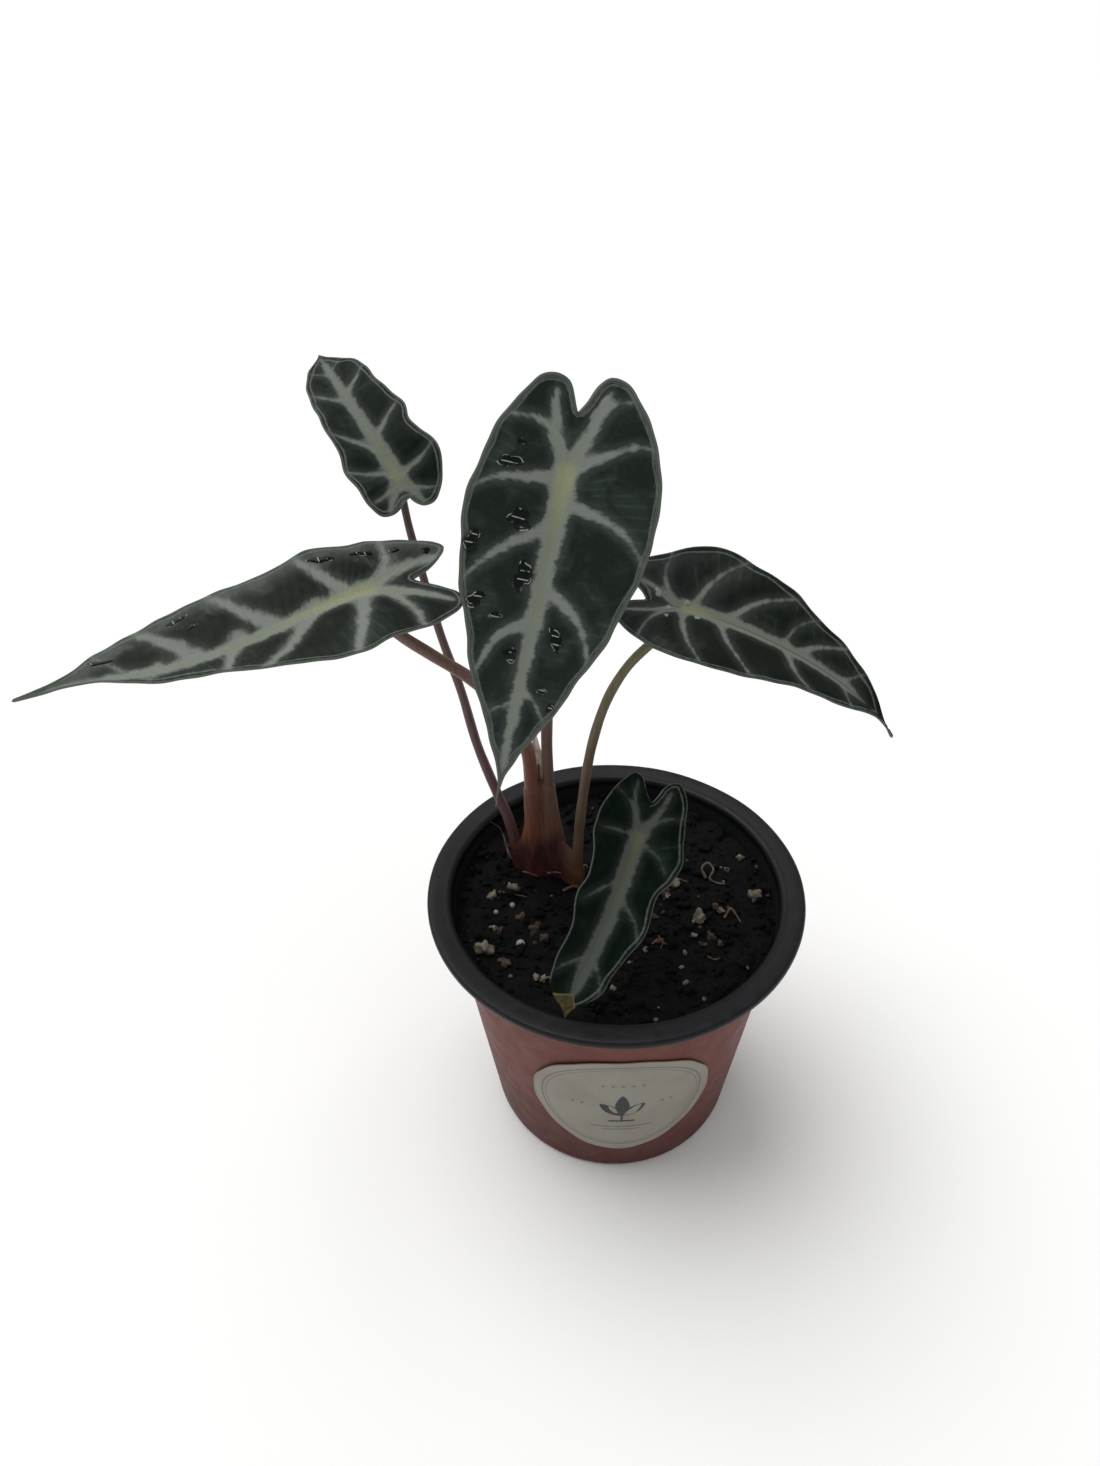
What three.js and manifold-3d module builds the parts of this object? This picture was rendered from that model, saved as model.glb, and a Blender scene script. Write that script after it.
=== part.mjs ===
// Potted dwarf alocasia: five folded, drooping leaves on slender stalks that rise from a short corm
// in a filled nursery pot. Millimetres, +Z up, origin at the centre of the pot's base,
// +X to the right and +Y to the back as one stands in front of the round label.
import * as THREE from 'three';
import { mergeVertices } from 'three/addons/utils/BufferGeometryUtils.js';
import Module from 'manifold-3d';

const wasm = await Module();
wasm.setup();

// Driving dimensions
const CLEARANCE = 0.3;
const SECTORS = 48;
const SLIVER = 0.02;

const POT_HEIGHT = 96;
const POT_BASE_RADIUS = 41.5;
const POT_BODY_TOP_RADIUS = 53;
const POT_RIM_RADIUS = 60;
const POT_RIM_DEPTH = 3;
const POT_WALL = 1;
const POT_HEEL_RADIUS = 2;
const DRAIN_COUNT = 8;
const DRAIN_RADIUS = 3.5;
const DRAIN_CIRCLE_RADIUS = 27;

const SOIL_LEVEL = 88;
const SOIL_RELIEF = 1.1;
const CRUMB_COUNT = 46;
const CRUMB_SEED = 7;

const LABEL_RADIUS = 29.5;
const LABEL_THICKNESS = 0.5;
const LABEL_HEIGHT_ON_POT = 45.5;
const LABEL_TURN = 4.8;

const CORM_CENTRE = [-21, 12.5];
const CORM_TOP = 85.5;
const CORM_BOTTOM = 56;
const CORM_HALF_LENGTH = 17;
const CORM_HALF_WIDTH = 9.5;
const CORM_TURN = -28;
const SOCKET_FLOOR = 82;

const BLADE_THICKNESS = 0.75;
const RIB_DEPTH = 1.1;
const RIB_WIDTH = 1.6;
const MARGIN_STEP = 4.5;
const MARGIN_SAMPLES = 240;
const FOOT_GRID = 0.5;
const QUILT_HEIGHT = 0.55;
const COLUMNS = [0, 0.08, 0.32, 0.66, 1];

// Each leaf has its joint (where stalk meets blade), the direction of its midrib, the roll about it,
// the curve down its length (droop), the rise of each half from the midrib (fold), and the midrib's
// sideways bow and hook. The outline's two halves run from the tip to the notch between the lobes, as
// [across, along] from the joint. Each vein is [foot on the midrib, end across, end along].
const LEAVES = [
  {
    name: 'back',
    joint: [-63.5, 38.5, 217.5], azimuth: 132, elevation: 36, roll: -21,
    length: 58.5, droop: 38, fold: 15, bow: 0, hook: 1, wave: 0.6,
    tip: [0, 58.5], notch: [0, -6.5],
    plus: [[1.8, 54], [5.5, 48], [8.5, 43], [10, 37], [10.5, 30], [11.5, 24], [13, 17.5], [12, 13], [12.5, 9],
      [14.2, 4], [14, -1], [12, -5], [9.5, -8.5], [5.5, -11], [2.5, -10.5], [0.8, -8.5]],
    minus: [[-2.7, 53.5], [-6.4, 46.5], [-9.5, 40], [-10.3, 34], [-10.5, 28], [-11.5, 21], [-11.2, 14.5],
      [-12.8, 7], [-12.2, 1], [-12, -4], [-10, -8], [-7, -9], [-4.5, -8.5], [-2, -7]],
    plusVeins: [[46, 5.5, 49.5], [33, 10, 38.5], [14, 12.7, 20.5], [1, 14.4, 2.5]],
    minusVeins: [[44, -6, 47], [30, -10, 38], [10.5, -11.5, 21.5], [2, -12.8, 7]],
    plusLobe: [9, -8.8], minusLobe: [-11.8, -4],
    stalk: [[-32.2, 16, 88], [-35.2, 18, 106], [-38.8, 20, 116], [-44.6, 23, 134], [-48.8, 26, 153],
      [-54, 29, 171.5], [-58, 32.5, 188.5], [-61.5, 36.5, 203]],
    footRadius: 1.9, headRadius: 1.1,
  },
  {
    name: 'left',
    joint: [-66, -4, 206.8], azimuth: 214, elevation: 2, roll: -10,
    length: 87, droop: 8, fold: 9, bow: -4, hook: 2, wave: 0.9,
    tip: [0, 87], notch: [0, -13],
    plus: [[1, 80], [2.9, 74.5], [7.3, 67], [10.5, 59], [12.5, 51], [14.5, 42.5], [16.3, 35], [16.3, 26],
      [16.8, 17], [18, 9], [16.8, 1], [16.8, -7], [14.5, -14.5], [11.5, -22], [8, -26], [4.5, -23.5],
      [1.8, -18.5]],
    minus: [[-0.6, 80], [-1, 72], [-3.1, 65], [-6, 58.5], [-8, 50], [-11, 41.5], [-15, 34], [-18, 26.5],
      [-22, 16.5], [-23.8, 9], [-22.8, 1], [-22.7, -7], [-20, -15], [-15.5, -20.5], [-10, -21.3],
      [-6, -17.5], [-2.5, -14]],
    plusVeins: [[63, 7.5, 68], [46, 11, 57.5], [24, 16.3, 36.5], [3, 17.8, 13]],
    minusVeins: [[54, -6.5, 57], [34, -12, 40.5], [13, -16, 32], [0.5, -23.8, 11.5]],
    plusLobe: [16, -11], minusLobe: [-22.7, -6.5],
    stalk: [[-26.3, 14.5, 88], [-26.6, 14.2, 110], [-27, 13.4, 128.5], [-27.8, 11, 144], [-33, 7, 160.5],
      [-41.7, 2.5, 175], [-51, -2, 186], [-59.5, -3.8, 194.5]],
    footRadius: 2.7, headRadius: 1.5,
  },
  {
    name: 'centre',
    joint: [-15, 13.5, 232], azimuth: 251, elevation: -55, roll: -30,
    length: 88, droop: 18, fold: 10, bow: 0, hook: -2, wave: 0.7,
    tip: [0, 88], notch: [0, -15],
    plus: [[1.2, 82], [3.5, 75.5], [7.5, 66.5], [11.5, 59], [15, 51], [18.5, 40], [21.5, 32], [23.2, 23],
      [24.4, 10], [22.4, 1], [19.4, -9], [15.5, -16], [11, -21.5], [7, -23], [3.5, -22], [1.5, -18.5]],
    minus: [[-1.2, 82], [-3.5, 75.5], [-7.5, 68], [-11.5, 60], [-15, 51.5], [-19, 42], [-22, 32],
      [-24.5, 22], [-25.8, 12], [-24.5, -1], [-21.5, -11], [-16.5, -19], [-11.5, -24.5], [-7, -25.2],
      [-4, -23], [-1.8, -18]],
    plusVeins: [[59, 8, 66.5], [38, 14.5, 52], [13, 22.5, 31], [1.5, 25.3, 10]],
    minusVeins: [[55.5, -9, 64.5], [29, -18, 44.5], [6.5, -25, 18.5], [-1, -23, -8]],
    plusLobe: [19.5, -10.5], minusLobe: [-14, -22],
    stalk: [[-20, 15.5, 88], [-21, 15.5, 103], [-21.8, 15.5, 127], [-21.8, 16, 146], [-20.5, 18, 175],
      [-18.2, 19.5, 203], [-16, 19, 222]],
    footRadius: 2, headRadius: 1.6,
  },
  {
    name: 'right',
    joint: [17, 9.5, 194.5], azimuth: -19, elevation: -4, roll: 17,
    length: 66.5, droop: 40, fold: 14, bow: 0.7, hook: 6.4, wave: 1.1,
    tip: [0, 66.5], notch: [0, -11],
    plus: [[0.3, 61], [3, 55], [6.5, 49], [10, 41.5], [13, 32.5], [16.5, 22.5], [19.5, 13], [20.8, 6],
      [19.5, -1], [16.5, -7], [12.5, -13.5], [8, -18], [5, -19.8], [2.5, -17], [0.8, -13]],
    minus: [[-1.5, 61], [-4.5, 55], [-8, 48], [-11, 41], [-12.3, 34], [-15.5, 26], [-18.5, 15.5],
      [-20.5, 6.5], [-19, -1], [-16, -8.5], [-13.5, -15], [-11.5, -20.5], [-9.5, -21.5], [-6.5, -18.5],
      [-3, -13.5]],
    plusVeins: [[46, 5.5, 51], [28.5, 11.5, 37.5], [9, 17, 21.5], [-0.5, 20.6, 8.5]],
    minusVeins: [[45.5, -6.5, 51], [30, -11.5, 39], [11, -15, 27], [1, -20, 11]],
    plusLobe: [16, -8], minusLobe: [-16.5, -8],
    stalk: [[-12.6, 8, 87], [-12, 8, 108], [-11, 8, 121.5], [-9.3, 8, 137.5], [-7.8, 8, 147.5],
      [-5.2, 8, 159], [-2.2, 8.5, 167.5], [2.7, 9, 176.5], [9, 9.3, 184]],
    footRadius: 1.8, headRadius: 1.3,
  },
  {
    name: 'front',
    joint: [6.5, -15, 133.5], azimuth: 249, elevation: -20, roll: -26,
    length: 56.5, droop: 33, fold: 14, bow: -1.5, hook: -3.5, wave: 0.5,
    tip: [0, 56], notch: [0, -11],
    plus: [[2.2, 54.3], [4.5, 52.8], [6.7, 51.8], [8.2, 48], [8.9, 43.5], [9, 37.5], [9.3, 32], [11.2, 27],
      [11.6, 23], [10.3, 17], [12, 10.5], [13.8, 6], [14, 0], [13.2, -7], [11, -13], [8.3, -16.5],
      [5.8, -16.8], [3.3, -14], [1.3, -11.6]],
    minus: [[-1.9, 53], [-4.9, 49], [-7.1, 45], [-7.7, 40.5], [-8.8, 35.5], [-10.5, 29.3], [-11.2, 24],
      [-10.7, 19], [-11.3, 14], [-13.5, 9.5], [-14.5, 4.5], [-13.2, -1], [-12, -6], [-10.5, -12.5],
      [-8.5, -18], [-6, -20.6], [-4, -20], [-2.2, -17.5], [-1, -13.8]],
    plusVeins: [[37, 8.3, 44.5], [14.5, 11.4, 26], [0.5, 13.9, 4.5]],
    minusVeins: [[38, -7.6, 45], [19.5, -10.6, 29], [1.5, -14, 8.5]],
    plusLobe: [12.4, -9.5], minusLobe: [-11.3, -9.5],
    stalk: [[-6.5, 10.5, 88], [-5.6, 8.5, 99], [-3.6, 4.5, 110], [-0.6, -2, 119], [3, -8.5, 125.5]],
    footRadius: 1.6, headRadius: 1.2,
  },
];

const STALK_SIDES = 10;
const STALK_STEP = 7;

// The dry sheath between the two middle stalks, as [x, y, z, half width]
const CATAPHYLL_SPINE = [
  [-23.8, 18.8, 80, 1.5], [-24.3, 18.8, 108, 1.6], [-25, 18.3, 126, 1.7], [-25.4, 18.2, 138, 1.9],
  [-25.6, 17.8, 146, 1.4],
];
const CATAPHYLL_THICKNESS = 0.7;
const CATAPHYLL_CUP = 0.5;

// Materials
function finish(name, colour, roughness, metalness = 0) {
  return new THREE.MeshStandardMaterial({ name, color: colour, roughness, metalness });
}
const POT_PLASTIC = finish('pot_plastic', '#7a4f47', 0.5);
const LABEL_PAPER = finish('label_paper', '#c9c4b8', 0.7);
const PEAT = finish('peat', '#1c1917', 0.95);
const CORM_SKIN = finish('corm_skin', '#5d4632', 0.85);
const BLADE_GREEN = finish('blade_green', '#2c3a33', 0.38);
const STALK_SKIN = finish('stalk_skin', '#5c463c', 0.5);
const DRY_SHEATH = finish('dry_sheath', '#a08b6c', 0.8);

// Closed meshes and booleans
function bareMesh(geometry) {
  const plain = new THREE.BufferGeometry();
  plain.setAttribute('position', geometry.getAttribute('position').clone());
  if (geometry.index) plain.setIndex(geometry.index.clone());
  return mergeVertices(plain, 1e-4);
}

function toSolid(geometry) {
  const bare = bareMesh(geometry);
  return new wasm.Manifold(new wasm.Mesh({
    numProp: 3,
    vertProperties: new Float32Array(bare.getAttribute('position').array),
    triVerts: new Uint32Array(bare.index.array),
  }));
}

function toGeometry(solid) {
  const mesh = solid.asOriginal().simplify(SLIVER).getMesh();
  const geometry = new THREE.BufferGeometry();
  geometry.setAttribute('position', new THREE.BufferAttribute(new Float32Array(mesh.vertProperties), 3));
  geometry.setIndex(new THREE.BufferAttribute(new Uint32Array(mesh.triVerts), 1));
  geometry.computeVertexNormals();
  return geometry;
}

function closedBody(vertices, triangles) {
  const geometry = new THREE.BufferGeometry();
  geometry.setAttribute('position', new THREE.Float32BufferAttribute(vertices.flatMap((v) => v.toArray()), 3));
  geometry.setIndex(triangles.flat());
  geometry.computeVertexNormals();
  return geometry;
}

function lathe(profile) {
  const points = profile.map(([radius, height]) => new THREE.Vector2(radius, height));
  const geometry = new THREE.LatheGeometry(points, SECTORS);
  geometry.rotateX(Math.PI / 2);
  return geometry;
}

// Seeded draw for the crumbs
function drawFrom(seed) {
  let state = seed >>> 0;
  return () => {
    state = (Math.imul(state, 1664525) + 1013904223) >>> 0;
    return state / 4294967296;
  };
}

// Pot
const RIM_UNDERSIDE = POT_HEIGHT - POT_RIM_DEPTH;

function potOuterRadius(height) {
  const share = Math.min(height / RIM_UNDERSIDE, 1);
  return THREE.MathUtils.lerp(POT_BASE_RADIUS, POT_BODY_TOP_RADIUS, share);
}

function potGeometry() {
  const wallTop = RIM_UNDERSIDE;
  const edge = 0.8;
  const profile = [
    [0, 0], [POT_BASE_RADIUS - POT_HEEL_RADIUS, 0],
    [potOuterRadius(0) - 0.5, 0.6], [potOuterRadius(POT_HEEL_RADIUS), POT_HEEL_RADIUS],
    [POT_BODY_TOP_RADIUS, wallTop],
    [POT_RIM_RADIUS - edge, wallTop], [POT_RIM_RADIUS, wallTop + edge],
    [POT_RIM_RADIUS, POT_HEIGHT - edge], [POT_RIM_RADIUS - edge, POT_HEIGHT],
    [POT_BODY_TOP_RADIUS + edge, POT_HEIGHT], [POT_BODY_TOP_RADIUS - POT_WALL, POT_HEIGHT - 1.5],
    [POT_BODY_TOP_RADIUS - POT_WALL, wallTop],
    [potOuterRadius(POT_HEEL_RADIUS) - POT_WALL, POT_HEEL_RADIUS],
    [POT_BASE_RADIUS - POT_HEEL_RADIUS - 0.5, POT_WALL], [0, POT_WALL],
  ];
  const drain = new THREE.CylinderGeometry(DRAIN_RADIUS, DRAIN_RADIUS, 4 * POT_WALL, 16);
  drain.rotateX(Math.PI / 2);
  let pot = toSolid(lathe(profile));
  for (let i = 0; i < DRAIN_COUNT; i += 1) {
    const turn = (2 * Math.PI * (i + 0.5)) / DRAIN_COUNT;
    const hole = drain.clone();
    hole.translate(DRAIN_CIRCLE_RADIUS * Math.cos(turn), DRAIN_CIRCLE_RADIUS * Math.sin(turn), POT_WALL / 2);
    pot = pot.subtract(toSolid(hole));
  }
  return toGeometry(pot);
}

// Label: a disc wrapped round the pot's tapering wall
function labelPoint(across, up, lift) {
  const height = LABEL_HEIGHT_ON_POT + up;
  const radius = potOuterRadius(height) + lift;
  const angle = THREE.MathUtils.degToRad(LABEL_TURN) + across / potOuterRadius(LABEL_HEIGHT_ON_POT);
  return new THREE.Vector3(radius * Math.sin(angle), -radius * Math.cos(angle), height);
}

function labelGeometry() {
  const rings = 5;
  const spokes = 36;
  const vertices = [];
  const triangles = [];
  const lifts = [CLEARANCE, CLEARANCE + LABEL_THICKNESS];
  for (const lift of lifts) {
    vertices.push(labelPoint(0, 0, lift));
    for (let ring = 1; ring <= rings; ring += 1) {
      for (let spoke = 0; spoke < spokes; spoke += 1) {
        const angle = (2 * Math.PI * spoke) / spokes;
        const reach = (LABEL_RADIUS * ring) / rings;
        vertices.push(labelPoint(reach * Math.cos(angle), reach * Math.sin(angle), lift));
      }
    }
  }
  const outerStart = 1 + rings * spokes;
  const at = (start, ring, spoke) => start + 1 + (ring - 1) * spokes + (spoke % spokes);
  for (let spoke = 0; spoke < spokes; spoke += 1) {
    triangles.push([outerStart, at(outerStart, 1, spoke), at(outerStart, 1, spoke + 1)]);
    triangles.push([0, at(0, 1, spoke + 1), at(0, 1, spoke)]);
    for (let ring = 1; ring < rings; ring += 1) {
      for (const [start, flip] of [[outerStart, false], [0, true]]) {
        const a = at(start, ring, spoke);
        const b = at(start, ring + 1, spoke);
        const c = at(start, ring + 1, spoke + 1);
        const d = at(start, ring, spoke + 1);
        triangles.push(flip ? [a, c, b] : [a, b, c], flip ? [a, d, c] : [a, c, d]);
      }
    }
    const a = at(0, rings, spoke);
    const b = at(0, rings, spoke + 1);
    const c = at(outerStart, rings, spoke + 1);
    const d = at(outerStart, rings, spoke);
    triangles.push([a, b, c], [a, c, d]);
  }
  return closedBody(vertices, triangles);
}

// Stalks: round tapering rods along a smooth curve
function taperedRod(curve, radiusAt, segments, sides) {
  const frames = curve.computeFrenetFrames(segments, false);
  const vertices = [];
  const triangles = [];
  for (let i = 0; i <= segments; i += 1) {
    const centre = curve.getPointAt(i / segments);
    for (let j = 0; j < sides; j += 1) {
      const angle = (2 * Math.PI * j) / sides;
      const radius = radiusAt(i / segments);
      vertices.push(centre.clone()
        .addScaledVector(frames.normals[i], radius * Math.cos(angle))
        .addScaledVector(frames.binormals[i], radius * Math.sin(angle)));
    }
  }
  const foot = vertices.push(curve.getPointAt(0)) - 1;
  const head = vertices.push(curve.getPointAt(1)) - 1;
  for (let j = 0; j < sides; j += 1) {
    const k = (j + 1) % sides;
    triangles.push([foot, k, j]);
    triangles.push([head, segments * sides + j, segments * sides + k]);
    for (let i = 0; i < segments; i += 1) {
      const a = i * sides + j;
      const b = i * sides + k;
      triangles.push([a, b, b + sides], [a, b + sides, a + sides]);
    }
  }
  return closedBody(vertices, triangles);
}

function stalkRod(leaf, extra, floor) {
  const { forward, normal } = bladeAxes(leaf);
  const joint = new THREE.Vector3(...leaf.joint);
  const head = joint.clone().addScaledVector(normal, BLADE_THICKNESS).addScaledVector(forward, 0.5);
  const neck = joint.clone().addScaledVector(normal, -3).lerp(new THREE.Vector3(...leaf.stalk.at(-1)), 0.25);
  const [footX, footY] = leaf.stalk[0];
  const points = [
    new THREE.Vector3(footX, footY, floor),
    ...leaf.stalk.map((point) => new THREE.Vector3(...point)), neck, head,
  ];
  const curve = new THREE.CatmullRomCurve3(points, false, 'centripetal');
  const flare = (t) => Math.exp(-t * 14) * 0.35;
  const radiusAt = (t) => THREE.MathUtils.lerp(leaf.footRadius, leaf.headRadius, t ** 0.7) + flare(t) + extra;
  const segments = Math.round(curve.getLength() / STALK_STEP);
  return taperedRod(curve, radiusAt, segments, STALK_SIDES);
}

function stalkGeometry(leaf) {
  const reach = { top: 4, bottom: BLADE_THICKNESS + CLEARANCE };
  const rod = toSolid(stalkRod(leaf, 0, SOCKET_FLOOR + CLEARANCE));
  const room = toSolid(bladeGeometry(leaf, reach.top, reach.bottom));
  const parts = rod.subtract(room).decompose();
  parts.sort((a, b) => b.volume() - a.volume());
  return toGeometry(parts[0]);
}

// Blades
function bladeAxes(leaf) {
  const azimuth = THREE.MathUtils.degToRad(leaf.azimuth);
  const elevation = THREE.MathUtils.degToRad(leaf.elevation);
  const roll = THREE.MathUtils.degToRad(leaf.roll);
  const forward = new THREE.Vector3(
    Math.cos(elevation) * Math.cos(azimuth), Math.cos(elevation) * Math.sin(azimuth), Math.sin(elevation),
  );
  const level = new THREE.Vector3(0, 0, 1).addScaledVector(forward, -forward.z).normalize();
  const levelSide = forward.clone().cross(level);
  const normal = level.multiplyScalar(Math.cos(roll)).addScaledVector(levelSide, Math.sin(roll));
  const side = forward.clone().cross(normal);
  return { forward, normal, side };
}

// A flat point of the blade, across the midrib and along it, bent into space and lifted off the surface
function bladePoint(leaf, axes, across, along, lift) {
  const bend = THREE.MathUtils.degToRad(leaf.droop) / leaf.length;
  const fold = THREE.MathUtils.degToRad(leaf.fold);
  const angle = bend * along;
  const share = along / leaf.length;
  const sway = leaf.bow * Math.sin(Math.PI * THREE.MathUtils.clamp(share, 0, 1)) ** 2
    + leaf.hook * Math.max(share, 0) ** 4;
  const up = axes.normal.clone().multiplyScalar(Math.cos(angle))
    .addScaledVector(axes.forward, Math.sin(angle));
  return new THREE.Vector3(...leaf.joint)
    .addScaledVector(axes.forward, Math.sin(angle) / bend)
    .addScaledVector(axes.normal, -(1 - Math.cos(angle)) / bend)
    .addScaledVector(axes.side, sway + across * Math.cos(fold))
    .addScaledVector(up, Math.abs(across) * Math.sin(fold) + lift);
}

// Height of the quilted, waved surface above the plain bent one
function bladeRelief(leaf, across, along, share, between) {
  const quilt = QUILT_HEIGHT * Math.sin(Math.PI * between) * Math.sin(Math.PI * Math.min(share * 1.1, 1));
  const turn = (2 * Math.PI * along) / (0.42 * leaf.length) + (across > 0 ? 0 : 2);
  return quilt + leaf.wave * share ** 2 * Math.sin(turn);
}

// Rows from the midrib to the margin, from the tip to the notch; every vein lies on a row
function bladeRows(leaf, outline, veins, lobe) {
  const points = [leaf.tip, ...outline, leaf.notch].map(([x, y]) => new THREE.Vector3(x, y, 0));
  const margin = new THREE.CatmullRomCurve3(points, false, 'centripetal');
  const samples = margin.getSpacedPoints(MARGIN_SAMPLES);
  const nearest = (x, y) => {
    const target = new THREE.Vector3(x, y, 0);
    let best = 0;
    samples.forEach((sample, i) => {
      if (sample.distanceTo(target) < samples[best].distanceTo(target)) best = i;
    });
    return best / MARGIN_SAMPLES;
  };
  const notchAlong = leaf.notch[1];
  const stations = [
    { inner: leaf.tip[1], outer: 0 },
    ...veins.map(([foot, x, y]) => ({ inner: foot, outer: nearest(x, y) })),
    { inner: 0.4 * notchAlong, outer: nearest(...lobe) },
    { inner: notchAlong, outer: 1 },
  ];
  const rows = [];
  for (let i = 0; i + 1 < stations.length; i += 1) {
    const [from, to] = [stations[i], stations[i + 1]];
    const count = Math.max(3, Math.round(((to.outer - from.outer) * margin.getLength()) / MARGIN_STEP));
    for (let j = 0; j < count; j += 1) {
      const between = j / count;
      const outer = margin.getPointAt(THREE.MathUtils.lerp(from.outer, to.outer, between));
      const inner = THREE.MathUtils.lerp(from.inner, to.inner, between);
      rows.push({ inner: Math.round(inner / FOOT_GRID) * FOOT_GRID, outer, between });
    }
  }
  rows.push({ inner: leaf.notch[1], outer: margin.getPointAt(1), between: 0 });
  return rows;
}

function bladeGeometry(leaf, top, bottom) {
  const axes = bladeAxes(leaf);
  const vertices = [];
  const triangles = [];
  const ribAt = (along) => RIB_DEPTH * (1 - 0.75 * THREE.MathUtils.clamp(along / leaf.length, 0, 1));
  const addPair = (across, along, share, between) => {
    const relief = bladeRelief(leaf, across, along, share, between);
    const inLobe = THREE.MathUtils.clamp(1 + along / 6, 0, 1);
    const rib = ribAt(along) * inLobe * Math.exp(-((across / RIB_WIDTH) ** 2));
    vertices.push(bladePoint(leaf, axes, across, along, relief + top));
    vertices.push(bladePoint(leaf, axes, across, along, relief - bottom - rib));
    return vertices.length / 2 - 1;
  };
  const addTriangle = (a, b, c) => {
    if (a !== b && b !== c && c !== a) triangles.push([a, b, c]);
  };
  const halves = [
    { rows: bladeRows(leaf, leaf.plus, leaf.plusVeins, leaf.plusLobe), flip: false },
    { rows: bladeRows(leaf, leaf.minus, leaf.minusVeins, leaf.minusLobe), flip: true },
  ];
  // Both halves share the points of the midrib
  const feet = [...new Set(halves.flatMap((half) => half.rows.map((row) => row.inner)))]
    .sort((a, b) => b - a);
  const spine = new Map(feet.map((foot) => [foot, addPair(0, foot, 0, 0)]));
  const tip = spine.get(feet[0]);
  const notch = spine.get(feet.at(-1));
  for (const { rows, flip } of halves) {
    const face = (a, b, c) => {
      const [p, q] = flip ? [c, b] : [b, c];
      addTriangle(2 * a, 2 * p, 2 * q);
      addTriangle(2 * a + 1, 2 * q + 1, 2 * p + 1);
    };
    const wall = (a, b) => {
      const [p, q] = flip ? [b, a] : [a, b];
      addTriangle(2 * p, 2 * q, 2 * q + 1);
      addTriangle(2 * p, 2 * q + 1, 2 * p + 1);
    };
    const sheet = rows.map((row, i) => {
      if (i === 0) return COLUMNS.map(() => tip);
      if (i === rows.length - 1) return COLUMNS.map(() => notch);
      const line = [spine.get(row.inner)];
      for (const share of COLUMNS.slice(1)) {
        const across = row.outer.x * share;
        const along = THREE.MathUtils.lerp(row.inner, row.outer.y, share);
        line.push(addPair(across, along, share, row.between));
      }
      return line;
    });
    for (let i = 0; i + 1 < sheet.length; i += 1) {
      const a = sheet[i];
      const b = sheet[i + 1];
      for (let j = 1; j + 1 < COLUMNS.length; j += 1) {
        face(a[j], b[j], b[j + 1]);
        face(a[j], b[j + 1], a[j + 1]);
      }
      wall(a.at(-1), b.at(-1));
      const chain = feet.filter((foot) => foot <= rows[i].inner && foot >= rows[i + 1].inner)
        .map((foot) => spine.get(foot));
      for (let k = 0; k + 1 < chain.length; k += 1) face(chain[k], chain[k + 1], a[1] === tip ? b[1] : a[1]);
      if (a[1] !== tip) face(chain.at(-1), b[1], a[1]);
    }
  }
  return closedBody(vertices, triangles);
}

// Soil, corm and dry sheath
function cormGeometry(extra) {
  const middle = (CORM_TOP + CORM_BOTTOM) / 2;
  const half = (CORM_TOP - CORM_BOTTOM) / 2 + extra;
  const geometry = new THREE.SphereGeometry(1, 18, 10);
  geometry.rotateX(Math.PI / 2);
  geometry.scale(CORM_HALF_LENGTH + extra, CORM_HALF_WIDTH + extra, half);
  const position = geometry.getAttribute('position');
  for (let i = 0; i < position.count; i += 1) {
    const rise = position.getZ(i) / half;
    const blunt = Math.sign(rise) * Math.min(Math.abs(rise) * 1.25, 1);
    position.setZ(i, blunt * half);
  }
  geometry.rotateZ(THREE.MathUtils.degToRad(CORM_TURN));
  geometry.translate(CORM_CENTRE[0], CORM_CENTRE[1], middle);
  return geometry;
}

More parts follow.
